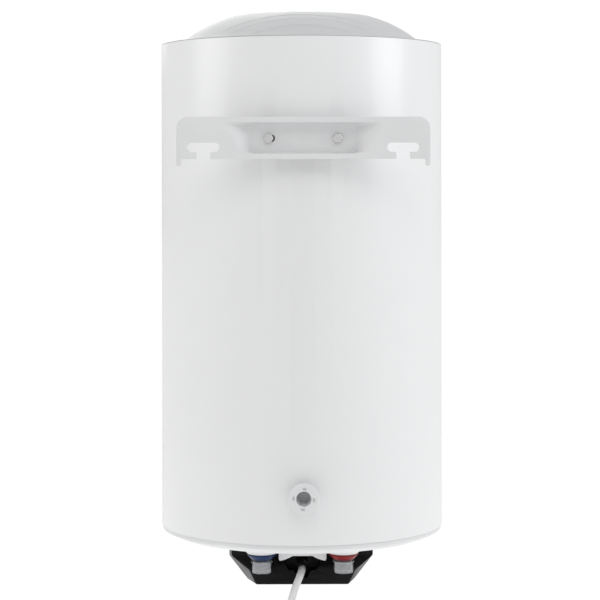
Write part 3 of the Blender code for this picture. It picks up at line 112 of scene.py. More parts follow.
# ---------------------------------------------------------------- mains cord's route, in tank coordinates
CORD_ROUTE = (
    (0.0000, 0.0263, -0.0550), (0.0004, 0.0330, -0.0549), (0.0014, 0.0412, -0.0563),
    (0.0036, 0.0478, -0.0610), (0.0070, 0.0508, -0.0688), (0.0104, 0.0519, -0.0780),
    (0.0132, 0.0520, -0.0870), (0.0158, 0.0520, -0.0945), (0.0188, 0.0520, -0.1012),
)
COIL_CENTRE = (0.004, -0.164)
COIL_OUTER = (0.0548, 0.0452)           # the two radii of the coil's turns
COIL_LAYERS = (0.0520, 0.0614)
COIL_START = 44
COIL_END = 1230
TAIL_ROUTE = ((0.0160, 0.0614, -0.2232), (0.0104, 0.0613, -0.2292), (0.0074, 0.0612, -0.2370),
              (0.0058, 0.0610, -0.2455), (0.0054, 0.0608, -0.2540))

# ---------------------------------------------------------------- camera and light
CAMERA_PLACE = (0.027, 2.234, -0.0564)
CAMERA_TURN = (90, 0.07, 179.408)
CAMERA_SHIFT = -0.181                   # the camera stands level, so upright edges stay parallel
CAMERA_LENS = 115.9
FLOOR_GLOW = 0.22
SKY_SIDE = 0.72
SKY_DIM = 0.43
SKY_FRONT = (0.62, 0.97)                # the direction's Y where the sky starts and ends to dim
SKY_LEFT = 0.90
SKY_TURN = (-0.4, 0.4)
SEEN_WHITE = 1.02


# ---------------------------------------------------------------- materials
GLOSS_SCALE = 2.7                       # the gloss varies this much more finely than the tone


def shader(name):
    made = bpy.data.materials.new(name)
    made.use_nodes = True
    return made, made.node_tree, made.node_tree.nodes["Principled BSDF"]


def noise(tree, scale, detail=3.0, stretch=None):
    """A noise texture in object coordinates; its scale is in turns per metre."""
    coordinates = tree.nodes.new("ShaderNodeTexCoord").outputs["Object"]
    if stretch is not None:
        mapping = tree.nodes.new("ShaderNodeMapping")
        mapping.inputs["Scale"].default_value = stretch
        tree.links.new(coordinates, mapping.inputs["Vector"])
        coordinates = mapping.outputs["Vector"]
    texture = tree.nodes.new("ShaderNodeTexNoise")
    texture.inputs["Scale"].default_value = scale
    texture.inputs["Detail"].default_value = detail
    tree.links.new(coordinates, texture.inputs["Vector"])
    return texture.outputs["Fac"]


def ranged(tree, value, low, high):
    """The noise's middle part spread over low to high."""
    spread = tree.nodes.new("ShaderNodeMapRange")
    spread.inputs["From Min"].default_value = 0.3
    spread.inputs["From Max"].default_value = 0.7
    spread.inputs["To Min"].default_value = low
    spread.inputs["To Max"].default_value = high
    tree.links.new(value, spread.inputs["Value"])
    return spread.outputs["Result"]


def painted(name, dark, light, rough, tone_scale=9.0, grain=None, stretch=None, **sockets):
    """A surface whose colour drifts between two tones, whose gloss varies, and which has a fine grain.

    rough is its lowest and highest roughness, grain is (turns per metre, height in metres).
    """
    made, tree, principled = shader(name)
    mix = tree.nodes.new("ShaderNodeMix")
    mix.data_type = "RGBA"
    mix.inputs["A"].default_value = (*dark, 1)
    mix.inputs["B"].default_value = (*light, 1)
    tree.links.new(ranged(tree, noise(tree, tone_scale, 4.0, stretch), 0, 1), mix.inputs["Factor"])
    tree.links.new(mix.outputs["Result"], principled.inputs["Base Color"])
    gloss = ranged(tree, noise(tree, tone_scale * GLOSS_SCALE, 3.0, stretch), *rough)
    tree.links.new(gloss, principled.inputs["Roughness"])
    if grain is not None:
        bump = tree.nodes.new("ShaderNodeBump")
        bump.inputs["Distance"].default_value = grain[1]
        bump.inputs["Strength"].default_value = 0.6
        tree.links.new(noise(tree, grain[0], 2.0, stretch), bump.inputs["Height"])
        tree.links.new(bump.outputs["Normal"], principled.inputs["Normal"])
    for socket, value in sockets.items():
        principled.inputs[socket.replace("_", " ")].default_value = value
    return made


def make_materials():
    metal = {"Metallic": 1.0}
    return {
        "white_enamel": painted(
            "enamelled_steel", (0.780, 0.782, 0.788), (0.800, 0.802, 0.805), (0.30, 0.38), 3.0,
            (420, 0.00003), Coat_Weight=0.35, Coat_Roughness=0.22),
        "white_powder_coat": painted(
            "powder_coated_steel", (0.700, 0.703, 0.709), (0.730, 0.732, 0.737), (0.42, 0.55), 14.0,
            (1500, 0.00008)),
        "white_plastic": painted(
            "moulded_white_plastic", (0.700, 0.705, 0.712), (0.740, 0.742, 0.745), (0.34, 0.46), 12.0,
            (1800, 0.00003)),
        "light_grey_plastic": painted(
            "moulded_grey_plastic", (0.560, 0.564, 0.571), (0.600, 0.602, 0.607), (0.38, 0.50), 8.0,
            (1600, 0.00005)),
        "black_plastic": painted(
            "textured_black_plastic", (0.0065, 0.0065, 0.0070), (0.0100, 0.0100, 0.0106), (0.36, 0.48),
            20.0, (2200, 0.00006), Specular_IOR_Level=0.12),
        "dark_grey_plastic": painted(
            "dark_grey_plastic", (0.050, 0.051, 0.054), (0.068, 0.069, 0.073), (0.32, 0.44), 30.0,
            (2200, 0.00003)),
        "blue_plastic": painted(
            "blue_plastic", (0.006, 0.021, 0.076), (0.009, 0.029, 0.096), (0.30, 0.42), 60.0,
            (2200, 0.00002), Specular_IOR_Level=0.2),
        "blue_insulation": painted(
            "blue_insulation", (0.010, 0.055, 0.230), (0.014, 0.066, 0.270), (0.36, 0.48), 60.0,
            (2600, 0.00002)),
        "red_plastic": painted(
            "red_plastic", (0.170, 0.0040, 0.0055), (0.210, 0.0060, 0.0080), (0.30, 0.42), 60.0,
            (2200, 0.00002), Specular_IOR_Level=0.2),
        "white_cord": painted(
            "white_cord_sheath", (0.790, 0.792, 0.790), (0.840, 0.841, 0.838), (0.40, 0.52), 40.0,
            (1500, 0.00004)),
        "plug_plastic": painted(
            "white_plug_plastic", (0.680, 0.680, 0.675), (0.725, 0.724, 0.718), (0.34, 0.48), 40.0,
            (2400, 0.00004)),
        "zinc_plated_steel": painted(
            "zinc_plated_steel", (0.76, 0.76, 0.77), (0.84, 0.84, 0.84), (0.30, 0.46), 180.0,
            (1800, 0.00003), **metal),
        "plain_steel": painted(
            "machined_steel", (0.15, 0.15, 0.155), (0.23, 0.23, 0.235), (0.26, 0.44), 160.0,
            (900, 0.00003), (1, 1, 9), **metal),
        "vitreous_enamel": painted(
            "vitreous_enamel", (0.030, 0.070, 0.170), (0.060, 0.120, 0.260), (0.18, 0.34), 30.0,
            (260, 0.00020)),
        "insulating_foam": painted(
            "insulating_foam", (0.60, 0.50, 0.26), (0.80, 0.70, 0.42), (0.85, 0.98), 40.0,
            (320, 0.00120)),
        "copper": painted(
            "copper_tube", (0.62, 0.26, 0.14), (0.80, 0.40, 0.25), (0.24, 0.44), 60.0, (600, 0.00004),
            **metal),
        "magnesium": painted(
            "magnesium_rod", (0.42, 0.42, 0.43), (0.62, 0.62, 0.62), (0.50, 0.70), 60.0, (500, 0.00020),
            **metal),
        "brass": painted(
            "turned_brass", (0.62, 0.44, 0.17), (0.76, 0.58, 0.27), (0.22, 0.36), 120.0, (900, 0.00003),
            (1, 1, 8), **metal),
        "black_rubber": painted(
            "black_rubber", (0.014, 0.014, 0.014), (0.026, 0.026, 0.026), (0.68, 0.84), 50.0,
            (1200, 0.00008)),
        "amber_lens": painted(
            "amber_lens", (0.72, 0.17, 0.02), (0.86, 0.26, 0.05), (0.08, 0.18), 200.0, (900, 0.00004),
            Transmission_Weight=0.35, IOR=1.49),
        "cream_plastic": painted(
            "cream_plastic", (0.64, 0.60, 0.49), (0.74, 0.70, 0.59), (0.42, 0.58), 40.0, (1800, 0.00004)),
        "brown_insulation": painted(
            "brown_insulation", (0.120, 0.045, 0.020), (0.180, 0.070, 0.034), (0.36, 0.48), 60.0,
            (2600, 0.00002)),
        "green_insulation": painted(
            "green_insulation", (0.07, 0.34, 0.04), (0.13, 0.46, 0.08), (0.36, 0.48), 60.0,
            (2600, 0.00002)),
        "translucent_plastic": painted(
            "translucent_plastic", (0.80, 0.83, 0.86), (0.88, 0.90, 0.92), (0.14, 0.26), 90.0,
            (1500, 0.00003), Alpha=0.22, IOR=1.42),
    }


MATERIALS = make_materials()


# ---------------------------------------------------------------- forms
def round_row(form, radius, height, steps, at):
    """A ring of points; the matrix puts it in its place."""
    row = []
    for index in range(steps):
        angle = 2 * math.pi * index / steps
        row.append(form.verts.new(at @ Vector((radius * math.cos(angle), radius * math.sin(angle), height))))
    return row


def bridge(form, first, second):
    """A band of faces between two closed rows of the same length."""
    for index in range(len(first)):
        form.faces.new((first[index - 1], first[index], second[index], second[index - 1]))


def spin(form, profile, steps, centre=(0, 0, 0), turn=None):
    """Turns a closed line of (radius, height) round an upright axis, or one turned by the matrix."""
    at = Matrix.Translation(centre) @ (turn if turn is not None else Matrix.Identity(4))
    rings = []
    for radius, height in profile:
        if radius < 1e-7:
            rings.append([form.verts.new(at @ Vector((0, 0, height)))])
        else:
            rings.append(round_row(form, radius, height, steps, at))
    pairs = list(zip(rings, rings[1:]))
    if profile[0][0] > 1e-7:
        pairs.append((rings[-1], rings[0]))
    for lower, upper in pairs:
        for index in range(steps):
            after = (index + 1) % steps
            corners = [lower[index % len(lower)], lower[after % len(lower)],
                       upper[after % len(upper)], upper[index % len(upper)]]
            corners = [corner for place, corner in enumerate(corners) if corner is not corners[place - 1]]
            if len(corners) > 2:
                form.faces.new(corners)


TO_WALL = Matrix.Rotation(-math.pi / 2, 4, "X")     # what was made along +Z points at the wall
TO_USER = Matrix.Rotation(math.pi / 2, 4, "X")


def push(form, outline, low, high, axis="Z"):
    """A flat outline pushed from low to high: (x, y) along Z, (x, z) along Y, (y, z) along X."""
    spot = {"Z": lambda u, v, w: (u, v, w), "Y": lambda u, v, w: (u, w, v),
            "X": lambda u, v, w: (w, u, v)}[axis]
    near = [form.verts.new(spot(u, v, low)) for u, v in outline]
    far = [form.verts.new(spot(u, v, high)) for u, v in outline]
    form.faces.new(near)
    form.faces.new(far[::-1])
    count = len(outline)
    for index in range(count):
        after = (index + 1) % count
        form.faces.new((near[index], near[after], far[after], far[index]))


def bar(form, low, high):
    push(form, [(low[0], low[1]), (high[0], low[1]), (high[0], high[1]), (low[0], high[1])], low[2], high[2])


def piece(name, form, paint, body="heater", instead=(), angle=32, in_tank=True):
    """Finishes a form as a piece of the heater that stands for the named CAD nodes."""
    bmesh.ops.recalc_face_normals(form, faces=form.faces)
    mesh = bpy.data.meshes.new(name)
    form.to_mesh(mesh)
    form.free()
    if in_tank:
        mesh.transform(Matrix.Translation(TANK))
    mesh.shade_smooth()
    mesh.set_sharp_from_angle(angle=math.radians(angle))
    made = bpy.data.objects.new(name, mesh)
    bpy.context.scene.collection.objects.link(made)
    if paint is not None:
        mesh.materials.append(MATERIALS[paint])
        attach(made, body)
        if instead:
            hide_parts(*instead)
    return made


def soften(made, width, segments=2, angle=40):
    edge = made.modifiers.new("soft_edges", "BEVEL")
    edge.width = width
    edge.segments = segments
    edge.limit_method = "ANGLE"
    edge.angle_limit = math.radians(angle)
    edge.harden_normals = True
    edge.use_clamp_overlap = True


def apply_modifiers(made):
    bpy.context.view_layer.update()
    seen = made.evaluated_get(bpy.context.evaluated_depsgraph_get())
    mesh = bpy.data.meshes.new_from_object(seen)
    made.modifiers.clear()
    made.data = mesh


def combine(made, tools, operation="DIFFERENCE", angle=32):
    """Cuts the tools from a piece, or adds them, and removes them."""
    for tool in tools:
        step = made.modifiers.new(tool.name, "BOOLEAN")
        step.operation = operation
        step.solver = "EXACT"
        step.object = tool
    apply_modifiers(made)
    for tool in tools:
        bpy.data.objects.remove(tool)
    made.data.shade_smooth()
    made.data.set_sharp_from_angle(angle=math.radians(angle))


def rod_tool(name, radius, low, high, centre, turn=None, steps=48):
    form = bmesh.new()
    turned = turn if turn is not None else Matrix.Identity(4)
    place = Matrix.Translation(centre) @ turned @ Matrix.Translation((0, 0, (low + high) / 2))
    bmesh.ops.create_cone(form, cap_ends=True, segments=steps, radius1=radius, radius2=radius,
                          depth=high - low, matrix=place)
    return piece(name, form, None)


def arc(start, end, bulge, steps):
    """Points from start to end on an arc that stands out to the left of the straight line."""
    start, end = Vector(start), Vector(end)
    chord = end - start
    radius = (chord.length ** 2 / 4 + bulge ** 2) / (2 * abs(bulge))
    left = Vector((-chord.y, chord.x)).normalized() * math.copysign(1, bulge)
    centre = (start + end) / 2 - left * (radius - abs(bulge))
    half = math.asin(min(1, chord.length / 2 / radius))
    spots = []
    for index in range(steps + 1):
        turn = half * (2 * index / steps - 1)
        along = chord.normalized() * radius * math.sin(turn)
        spots.append(tuple(centre + along + left * radius * math.cos(turn)))
    return spots


def rounded(outline, radii, steps=6):
    """The outline with each corner replaced by an arc of its own radius."""
    spots = []
    for index, radius in enumerate(radii):
        corner = Vector(outline[index])
        if radius == 0:
            spots.append(tuple(corner))
            continue
        before = (Vector(outline[index - 1]) - corner).normalized()
        after = (Vector(outline[(index + 1) % len(outline)]) - corner).normalized()
        half = before.angle(after) / 2
        centre = corner + (before + after).normalized() * radius / math.sin(half)
        first = corner + before * radius / math.tan(half) - centre
        last = corner + after * radius / math.tan(half) - centre
        sweep = math.pi - 2 * half
        for step in range(steps + 1):
            turn = sweep * step / steps
            reach = (first * math.sin(sweep - turn) + last * math.sin(turn)) / math.sin(sweep)
            spots.append(tuple(centre + reach))
    return spots


def eased(outline, radius, steps=4, closed=True):
    """The outline with every corner rounded, or, on an open line, every corner but the two ends."""
    ends = 0 if closed else 1
    radii = [0 if index < ends or index >= len(outline) - ends else radius for index in range(len(outline))]
    return rounded(outline, radii, steps)


def mirrored(half):
    return list(half) + [(-x, z) for x, z in reversed(half)]


def inset(outline, distance):
    points = [Vector(point) for point in outline]
    count = len(points)
    area = sum(points[i - 1].x * points[i].y - points[i].x * points[i - 1].y for i in range(count))
    turn = math.copysign(1, area)
    spots = []
    for index in range(count):
        before = (points[index] - points[index - 1]).normalized()
        after = (points[(index + 1) % count] - points[index]).normalized()
        left_before = Vector((-before.y, before.x)) * turn
        middle = (left_before + Vector((-after.y, after.x)) * turn).normalized()
        spots.append(tuple(points[index] + middle * distance / middle.dot(left_before)))
    return spots


def smooth(route, count):
    """Points on a smooth curve that passes through every point of the route."""
    spots = [Vector(point) for point in route]
    spots = [2 * spots[0] - spots[1]] + spots + [2 * spots[-1] - spots[-2]]
    spans = len(route) - 1
    made = []
    for index in range(count + 1):
        where = index / count * spans
        span = min(int(where), spans - 1)
        t = where - span
        a, b, c, d = spots[span:span + 4]
        made.append((2 * b + (c - a) * t + (2 * a - 5 * b + 4 * c - d) * t ** 2
                     + (3 * b - 3 * c + d - a) * t ** 3) / 2)
    return made


# ---------------------------------------------------------------- camera


def make_camera():
    data = bpy.data.cameras.new("camera")
    data.lens = CAMERA_LENS
    data.sensor_width = 36
    data.shift_y = CAMERA_SHIFT
    data.clip_start = 0.05
    made = bpy.data.objects.new("camera", data)
    bpy.context.scene.collection.objects.link(made)
    made.location = CAMERA_PLACE
    made.rotation_euler = [math.radians(turn) for turn in CAMERA_TURN]
    bpy.context.scene.camera = made


# ---------------------------------------------------------------- mains cord


def step_between(value, start, end):
    t = min(1, max(0, (value - start) / (end - start)))
    return t * t * (3 - 2 * t)


def coil_point(turned):
    """Where the cord is in the coil: outer and inner turn on one side, then inner and outer on the other."""
    outer, inner = COIL_OUTER
    inwards = step_between(turned, 340, 402) - step_between(turned, 930, 992)
    radius = outer + (inner - outer) * inwards
    layer = COIL_LAYERS[0] + (COIL_LAYERS[1] - COIL_LAYERS[0]) * step_between(turned, 640, 702)
    angle = math.radians(turned)
    return (COIL_CENTRE[0] + radius * math.sin(angle), layer, COIL_CENTRE[1] + radius * math.cos(angle))


def make_cord():
    route = list(smooth(CORD_ROUTE, 32))
    lead_in = [CORD_ROUTE[-2], CORD_ROUTE[-1], (0.0234, 0.0520, -0.1070), (0.0312, 0.0520, -0.1139)]
    lead_in += [coil_point(COIL_START), coil_point(COIL_START + 12)]
    route += smooth(lead_in, 20)[5:17]
    turned = COIL_START + 6
    while turned < COIL_END:
        route.append(Vector(coil_point(turned)))
        turned += 6
    tail = [coil_point(COIL_END - 8), coil_point(COIL_END), (0.0237, 0.0614, -0.2168), *TAIL_ROUTE]
    route += smooth(tail, 28)[4:]
    line = bpy.data.curves.new("mains_cord", "CURVE")
    line.dimensions = "3D"
    line.bevel_depth = CORD_RADIUS
    line.bevel_resolution = 6
    line.use_fill_caps = True
    path = line.splines.new("POLY")
    path.points.add(len(route) - 1)
    for spot, point in zip(path.points, route):
        spot.co = (*(TANK + Vector(point)), 1)
    line.materials.append(MATERIALS["white_cord"])
    made = bpy.data.objects.new("mains_cord", line)
    bpy.context.scene.collection.objects.link(made)
    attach(made, "heater")
    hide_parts("power_cord", "cord_coil", "cord_tail")
    return made


def strap():
    """The tie round the coil's four runs: a flat strap with its tail tucked under a small head."""
    half_x, wall = 0.003, 0.0011
    reach = (COIL_LAYERS[1] - COIL_LAYERS[0]) / 2 + CORD_RADIUS + 0.0004
    y = (COIL_LAYERS[0] + COIL_LAYERS[1]) / 2
    z = COIL_CENTRE[1] + sum(COIL_OUTER) / 2
    outer = rounded([(y - reach - wall, z - reach - wall), (y + reach + wall, z - reach - wall),
                     (y + reach + wall, z + reach + wall), (y - reach - wall, z + reach + wall)],
                    [CORD_RADIUS + wall] * 4, 8)
    inner = rounded([(y - reach, z - reach), (y + reach, z - reach), (y + reach, z + reach),
                     (y - reach, z + reach)], [CORD_RADIUS] * 4, 8)
    form = bmesh.new()
    middle = COIL_CENTRE[0]
    rows = []
    for x, line in ((middle - half_x, outer), (middle + half_x, outer), (middle + half_x, inner),
                    (middle - half_x, inner)):
        rows.append([form.verts.new((x, u, v)) for u, v in line])
    for first, second in zip(rows, rows[1:] + rows[:1]):
        bridge(form, first, second)
    bar(form, (middle - 0.0038, y + reach - 0.0002, z - 0.0035),
        (middle + 0.0038, y + reach + 0.0034, z + 0.0035))
    made = piece("coil_strap", form, "black_plastic", instead=("coil_tie",))
    soften(made, 0.0005)
    return made


def make_plug():
    """Round earthed plug, pins down, with finger grips round its waist and two side notches."""
    x, y, z = TAIL_ROUTE[-1]
    z -= GAP
    length, radius, neck = 0.050, 0.0190, 0.0065
    profile = [(0, 0), (neck - 0.001, 0), (neck, -0.001)]
    profile += [(neck - 0.0012 * (index % 2), -0.0025 - 0.0022 * index) for index in range(6)]
    profile += arc((neck, -0.0150), (radius * 0.88, -0.0270), -0.0030, 8)
    profile += [(radius * 0.94, -0.0300), (radius * 0.94, -0.0320), (radius, -0.0345),
                (radius, -length + 0.0012), (radius - 0.0012, -length), (radius - 0.0040, -length),
                (radius - 0.0046, -length + 0.0010),
                (0, -length + 0.0010)]
    form = bmesh.new()
    spin(form, profile, 64, (x, y, z))
    body = piece("plug_body", form, "plug_plastic", instead=("plug",))
    notches = []
    for side in (-1, 1):
        tool = bmesh.new()
        bar(tool, (x - 0.0035, y + side * 0.0185 - 0.0025, z - length - 0.01),
            (x + 0.0035, y + side * 0.0185 + 0.0025, z - 0.0360))
        notches.append(piece("plug_notch", tool, None))
    combine(body, notches)
    soften(body, 0.0004)
    pieces = [body]
    for side, word in ((-1, "left"), (1, "right")):
        pin = [(0, -length + 0.0014), (0.0024, -length + 0.0014), (0.0024, -length - 0.0100),
               (0.00235, -length - 0.0103), (0.0024, -length - 0.0170), (0.0020, -length - 0.0184),
               (0.0010, -length - 0.0190), (0, -length - 0.0190)]
        form = bmesh.new()
        spin(form, pin, 32, (x + side * 0.0095, y, z))
        pieces.append(piece(f"pin_{word}", form, "zinc_plated_steel", instead=(f"plug_pin_{word}",)))
    return pieces


def make_relief():
    """Ribbed rubber sleeve in the cover's cord slot; it tapers towards the free cord."""
    profile = [(CORD_RADIUS + 0.0001, 0.0092), (0.0062, 0.0092), (0.0062, 0.0150)]
    for index in range(5):
        start = 0.0156 + index * 0.0022
        radius = 0.0060 - index * 0.00022
        profile += [(radius - 0.0007, start), (radius - 0.0007, start + 0.0008), (radius, start + 0.0012),
                    (radius, start + 0.0020)]
    profile += [(CORD_RADIUS + 0.0004, 0.0272), (CORD_RADIUS + 0.0001, 0.0272)]
    form = bmesh.new()
    spin(form, profile, 48, (0, 0, -0.0550), TO_WALL)
    piece("cord_relief", form, "black_rubber", instead=("cord_gland",))


make_camera()
CORD = make_cord()
TIE = strap()
PLUG = make_plug()
make_relief()


# ---------------------------------------------------------------- shell
def dome_line(radius, steps=10):
    shoulder = arc((radius, 0), CREASE, -SHOULDER_BULGE, steps)
    return shoulder + arc(CREASE, (0, DOME_HEIGHT), -CROWN_BULGE, steps)[1:]


def dome_height(reach):
    """The dome's height above the jacket's top at a distance from the axis."""
    line = dome_line(DOME_RADIUS, 24)
    for (far, low), (near, high) in zip(line, line[1:]):
        if near <= reach <= far:
            return low + (high - low) * (far - reach) / (far - near)
    return 0


def make_jacket():
    inner, outer = JACKET_RADIUS - JACKET_SHEET, JACKET_RADIUS
    edge = JACKET_SHEET / 2
    profile = [(inner, edge)]
    for step in range(5):
        turn = math.pi * step / 4
        profile.append((outer - edge - edge * math.cos(turn), edge - edge * math.sin(turn)))
    for step in range(5):
        turn = math.pi * step / 4
        profile.append((outer - edge + edge * math.cos(turn), JACKET_HEIGHT - edge + edge * math.sin(turn)))
    form = bmesh.new()
    spin(form, profile, 180)
    made = piece("jacket_shell", form, "white_enamel", instead=("outer_jacket",))
    tools = [rod_tool("spacer_hole", 0.0137, 0, 0.06, (0, 0.15, SPACER_HEIGHT), TO_WALL)]
    for side in (-1, 1):
        tools.append(rod_tool("post_hole", 0.0073, 0, 0.06, (side * 0.0403, 0.15, WEB_MIDDLE), TO_WALL))
    combine(made, tools)


def make_dome():
    """The grey cap, with three fine ridges parallel to the wall and a short raised bar."""
    line = dome_line(DOME_RADIUS)
    inner = [(max(radius - CAP_WALL, 0), height - CAP_WALL) for radius, height in line]
    rim, upstand = JACKET_RADIUS - GAP, JACKET_RADIUS - JACKET_SHEET - GAP
    profile = [(0, DOME_HEIGHT)] + line[::-1][1:-1]
    profile += arc((DOME_RADIUS - 0.0007, CAP_WALL + 0.0012), (DOME_RADIUS + 0.0012, CAP_WALL), -0.0003, 3)
    profile += [(rim - 0.0010, CAP_EDGE), (rim - 0.0003, CAP_EDGE - 0.0001), (rim, CAP_EDGE - 0.0004),
                (rim, GAP), (upstand, GAP), (upstand, -UPSTAND), (upstand - CAP_WALL, -UPSTAND),
                (upstand - CAP_WALL, 0), (DOME_RADIUS - CAP_WALL, 0)]
    profile += inner[1:-1] + [(0, DOME_HEIGHT - CAP_WALL)]
    form = bmesh.new()
    spin(form, profile, 180, (0, 0, JACKET_HEIGHT))
    for y, half in FINE_RIDGES:
        ridge(form, y, -half, half, 0.0007, 0.0007)
    ridge(form, *RAISED_BAR)
    piece("dome_cap", form, "light_grey_plastic", instead=("top_cap",), angle=40)


def ridge(form, y, start, end, wide, high):
    """A raised line across the dome: its cross-section is a flat arc whose foot is sunk in the dome."""
    steps = 60
    rows = []
    for index in range(steps + 1):
        x = start + (end - start) * index / steps
        taper = min(1, min(index, steps - index) / 4)
        row = []
        for across in (-1, -0.7, 0, 0.7, 1):
            place = y + across * wide
            top = JACKET_HEIGHT + dome_height(math.hypot(x, place))
            row.append(form.verts.new((x, place, top + taper * high * (1 - across * across) - 0.00015)))
        row.append(form.verts.new((x, y, JACKET_HEIGHT + dome_height(math.hypot(x, y)) - 0.0012)))
        rows.append(row)
    for first, second in zip(rows, rows[1:]):
        bridge(form, first, second)
    form.faces.new(rows[0])
    form.faces.new(rows[-1][::-1])


def make_bottom():
    """White bottom cap: lip, dished floor, and openings for the flange and the pipe plate."""
    upstand = JACKET_RADIUS - JACKET_SHEET - GAP
    lip = JACKET_RADIUS - 4 * GAP
    slope = ((DISH[0] + LIP[0]) / 2, (DISH[1] + LIP[1] - CAP_WALL) / 2)
    outer = [(0, DISH[1]), (0.060, DISH[1]), (0.100, DISH[1])] + eased([(0.130, DISH[1]), DISH, slope, LIP,
                                                                      (lip, -2 * CAP_WALL), (lip, -GAP)],
                                                                     0.0022, 3, closed=False)
    inner = [(0, DISH[1] + CAP_WALL), (DISH[0], DISH[1] + CAP_WALL), (slope[0], slope[1] + CAP_WALL),
             (upstand - CAP_WALL, FLOOR_EDGE)]
    profile = outer + [(upstand, -GAP), (upstand, UPSTAND), (upstand - CAP_WALL, UPSTAND)] + inner[::-1]
    form = bmesh.new()
    spin(form, profile, 180)
    made = piece("bottom_cap_shell", form, "white_plastic", instead=("bottom_cap",))
    holes = [rod_tool("flange_hole", FLANGE[1], -0.04, 0.01, (0, FLANGE[0], 0), steps=96)]
    plate_hole = bmesh.new()
    push(plate_hole, plate_outline(PLATE_RADIUS + GAP), -0.04, 0.01)
    combine(made, holes + [piece("plate_hole", plate_hole, None)])


def plate_outline(radius):
    """Half rounds about the two pipes, joined by straight sides."""
    spots = []
    steps = 32
    for side, _ in PIPES:
        for index in range(steps + 1):
            turn = math.pi * (index / steps - 0.5)
            spots.append((side * (PIPE_PLACE[0] + radius * math.cos(turn)),
                          PIPE_PLACE[1] + side * radius * math.sin(turn)))
    return spots


def make_plate():
    """The plate round the pipes with its two bosses and arched skirt, and the cap's screw pillars."""
    form = bmesh.new()
    push(form, plate_outline(PLATE_RADIUS), DISH[1], DISH[1] + CAP_WALL)
    plate = piece("pipe_plate_sheet", form, "white_plastic", instead=("pipe_plate",))
    holes = [(side * PIPE_PLACE[0], PIPE_PLACE[1], 0) for side, _ in PIPES]
    combine(plate, [rod_tool("pipe_hole", PIPE_RADIUS + GAP, -0.04, 0.01, hole) for hole in holes])
    soften(plate, 0.0005)

    form = bmesh.new()
    pillars = bmesh.new()
    root = DISH[1] + CAP_WALL / 2
    for side, _ in PIPES:
        flare = arc((BOSS[1], DISH[1]), (BOSS[0], BOSS[2] + 0.0006), -BOSS_HOLLOW, 12)
        bore = PIPE_RADIUS + GAP
        profile = [(bore, root), (BOSS[1], root)] + flare + [(BOSS[0] - 0.0004, BOSS[2]), (bore, BOSS[2])]
        spin(form, profile, 72, (side * PIPE_PLACE[0], PIPE_PLACE[1], 0))
        centre = (side * SCREWS[0], SCREWS[1], 0)
        pillar = [(0.0021, root), (0.0045, root), (0.0045, SCREWS[2] + CAP_WALL + GAP),
                  (0.0021, SCREWS[2] + CAP_WALL + GAP)]
        spin(pillars, pillar, 32, centre)
    piece("pipe_bosses", form, "white_plastic", angle=40)
    piece("screw_pillars", pillars, "white_plastic", angle=40)

    wide, foot, crown_x, crown_z, front, back = SKIRT
    half = [(wide, root), (wide, foot + 0.0025), (wide - 0.00125, foot), (wide - 0.00375, foot + 0.0006)]
    half += arc(half[3], (crown_x, crown_z), 0.0006, 8)[1:]
    form = bmesh.new()
    push(form, mirrored(half), front, back, "Y")
    soften(piece("arched_skirt", form, "white_plastic"), 0.0007, 3)


def make_pipes():
    """The two steel pipes: their lower ends carry a pipe thread."""
    for side, word in PIPES:
        top = 0.040 if side > 0 else 0.585
        centre = (side * PIPE_PLACE[0], PIPE_PLACE[1], 0)
        form = bmesh.new()
        steps, rows_per_turn = 48, 8
        threaded = 0.0142
        lines = []
        count = int(threaded / THREAD_PITCH * rows_per_turn)
        for row in range(count + 1):
            height = PIPE_END + threaded * row / count
            line = []
            for index in range(steps):
                angle = 2 * math.pi * index / steps
                phase = (height / THREAD_PITCH - angle / (2 * math.pi)) % 1
                tooth = 1 - abs(2 * phase - 1)
                cut = THREAD_DEPTH * (1 - min(1, tooth * 1.25))
                cut *= 1 - step_between(height, PIPE_END + threaded - 0.0022, PIPE_END + threaded - 0.0004)
                cut = max(cut, 0.0012 * (1 - step_between(height, PIPE_END, PIPE_END + 0.0014)))
                radius = PIPE_RADIUS - cut
                line.append(form.verts.new((centre[0] + radius * math.cos(angle),
                                            centre[1] + radius * math.sin(angle), height)))
            lines.append(line)
        for radius, height in ((PIPE_RADIUS, -0.030), (PIPE_RADIUS, top), (PIPE_BORE, top),
                               (PIPE_BORE, -0.030), (PIPE_BORE, PIPE_END + 0.0006),
                               (PIPE_BORE + 0.0005, PIPE_END)):
            lines.append(round_row(form, radius, height, steps, Matrix.Translation(centre)))
        for first, second in zip(lines, lines[1:] + lines[:1]):
            bridge(form, first, second)
        piece(f"{word}_pipe_threaded", form, "plain_steel", instead=(f"{word}_pipe",), angle=50)


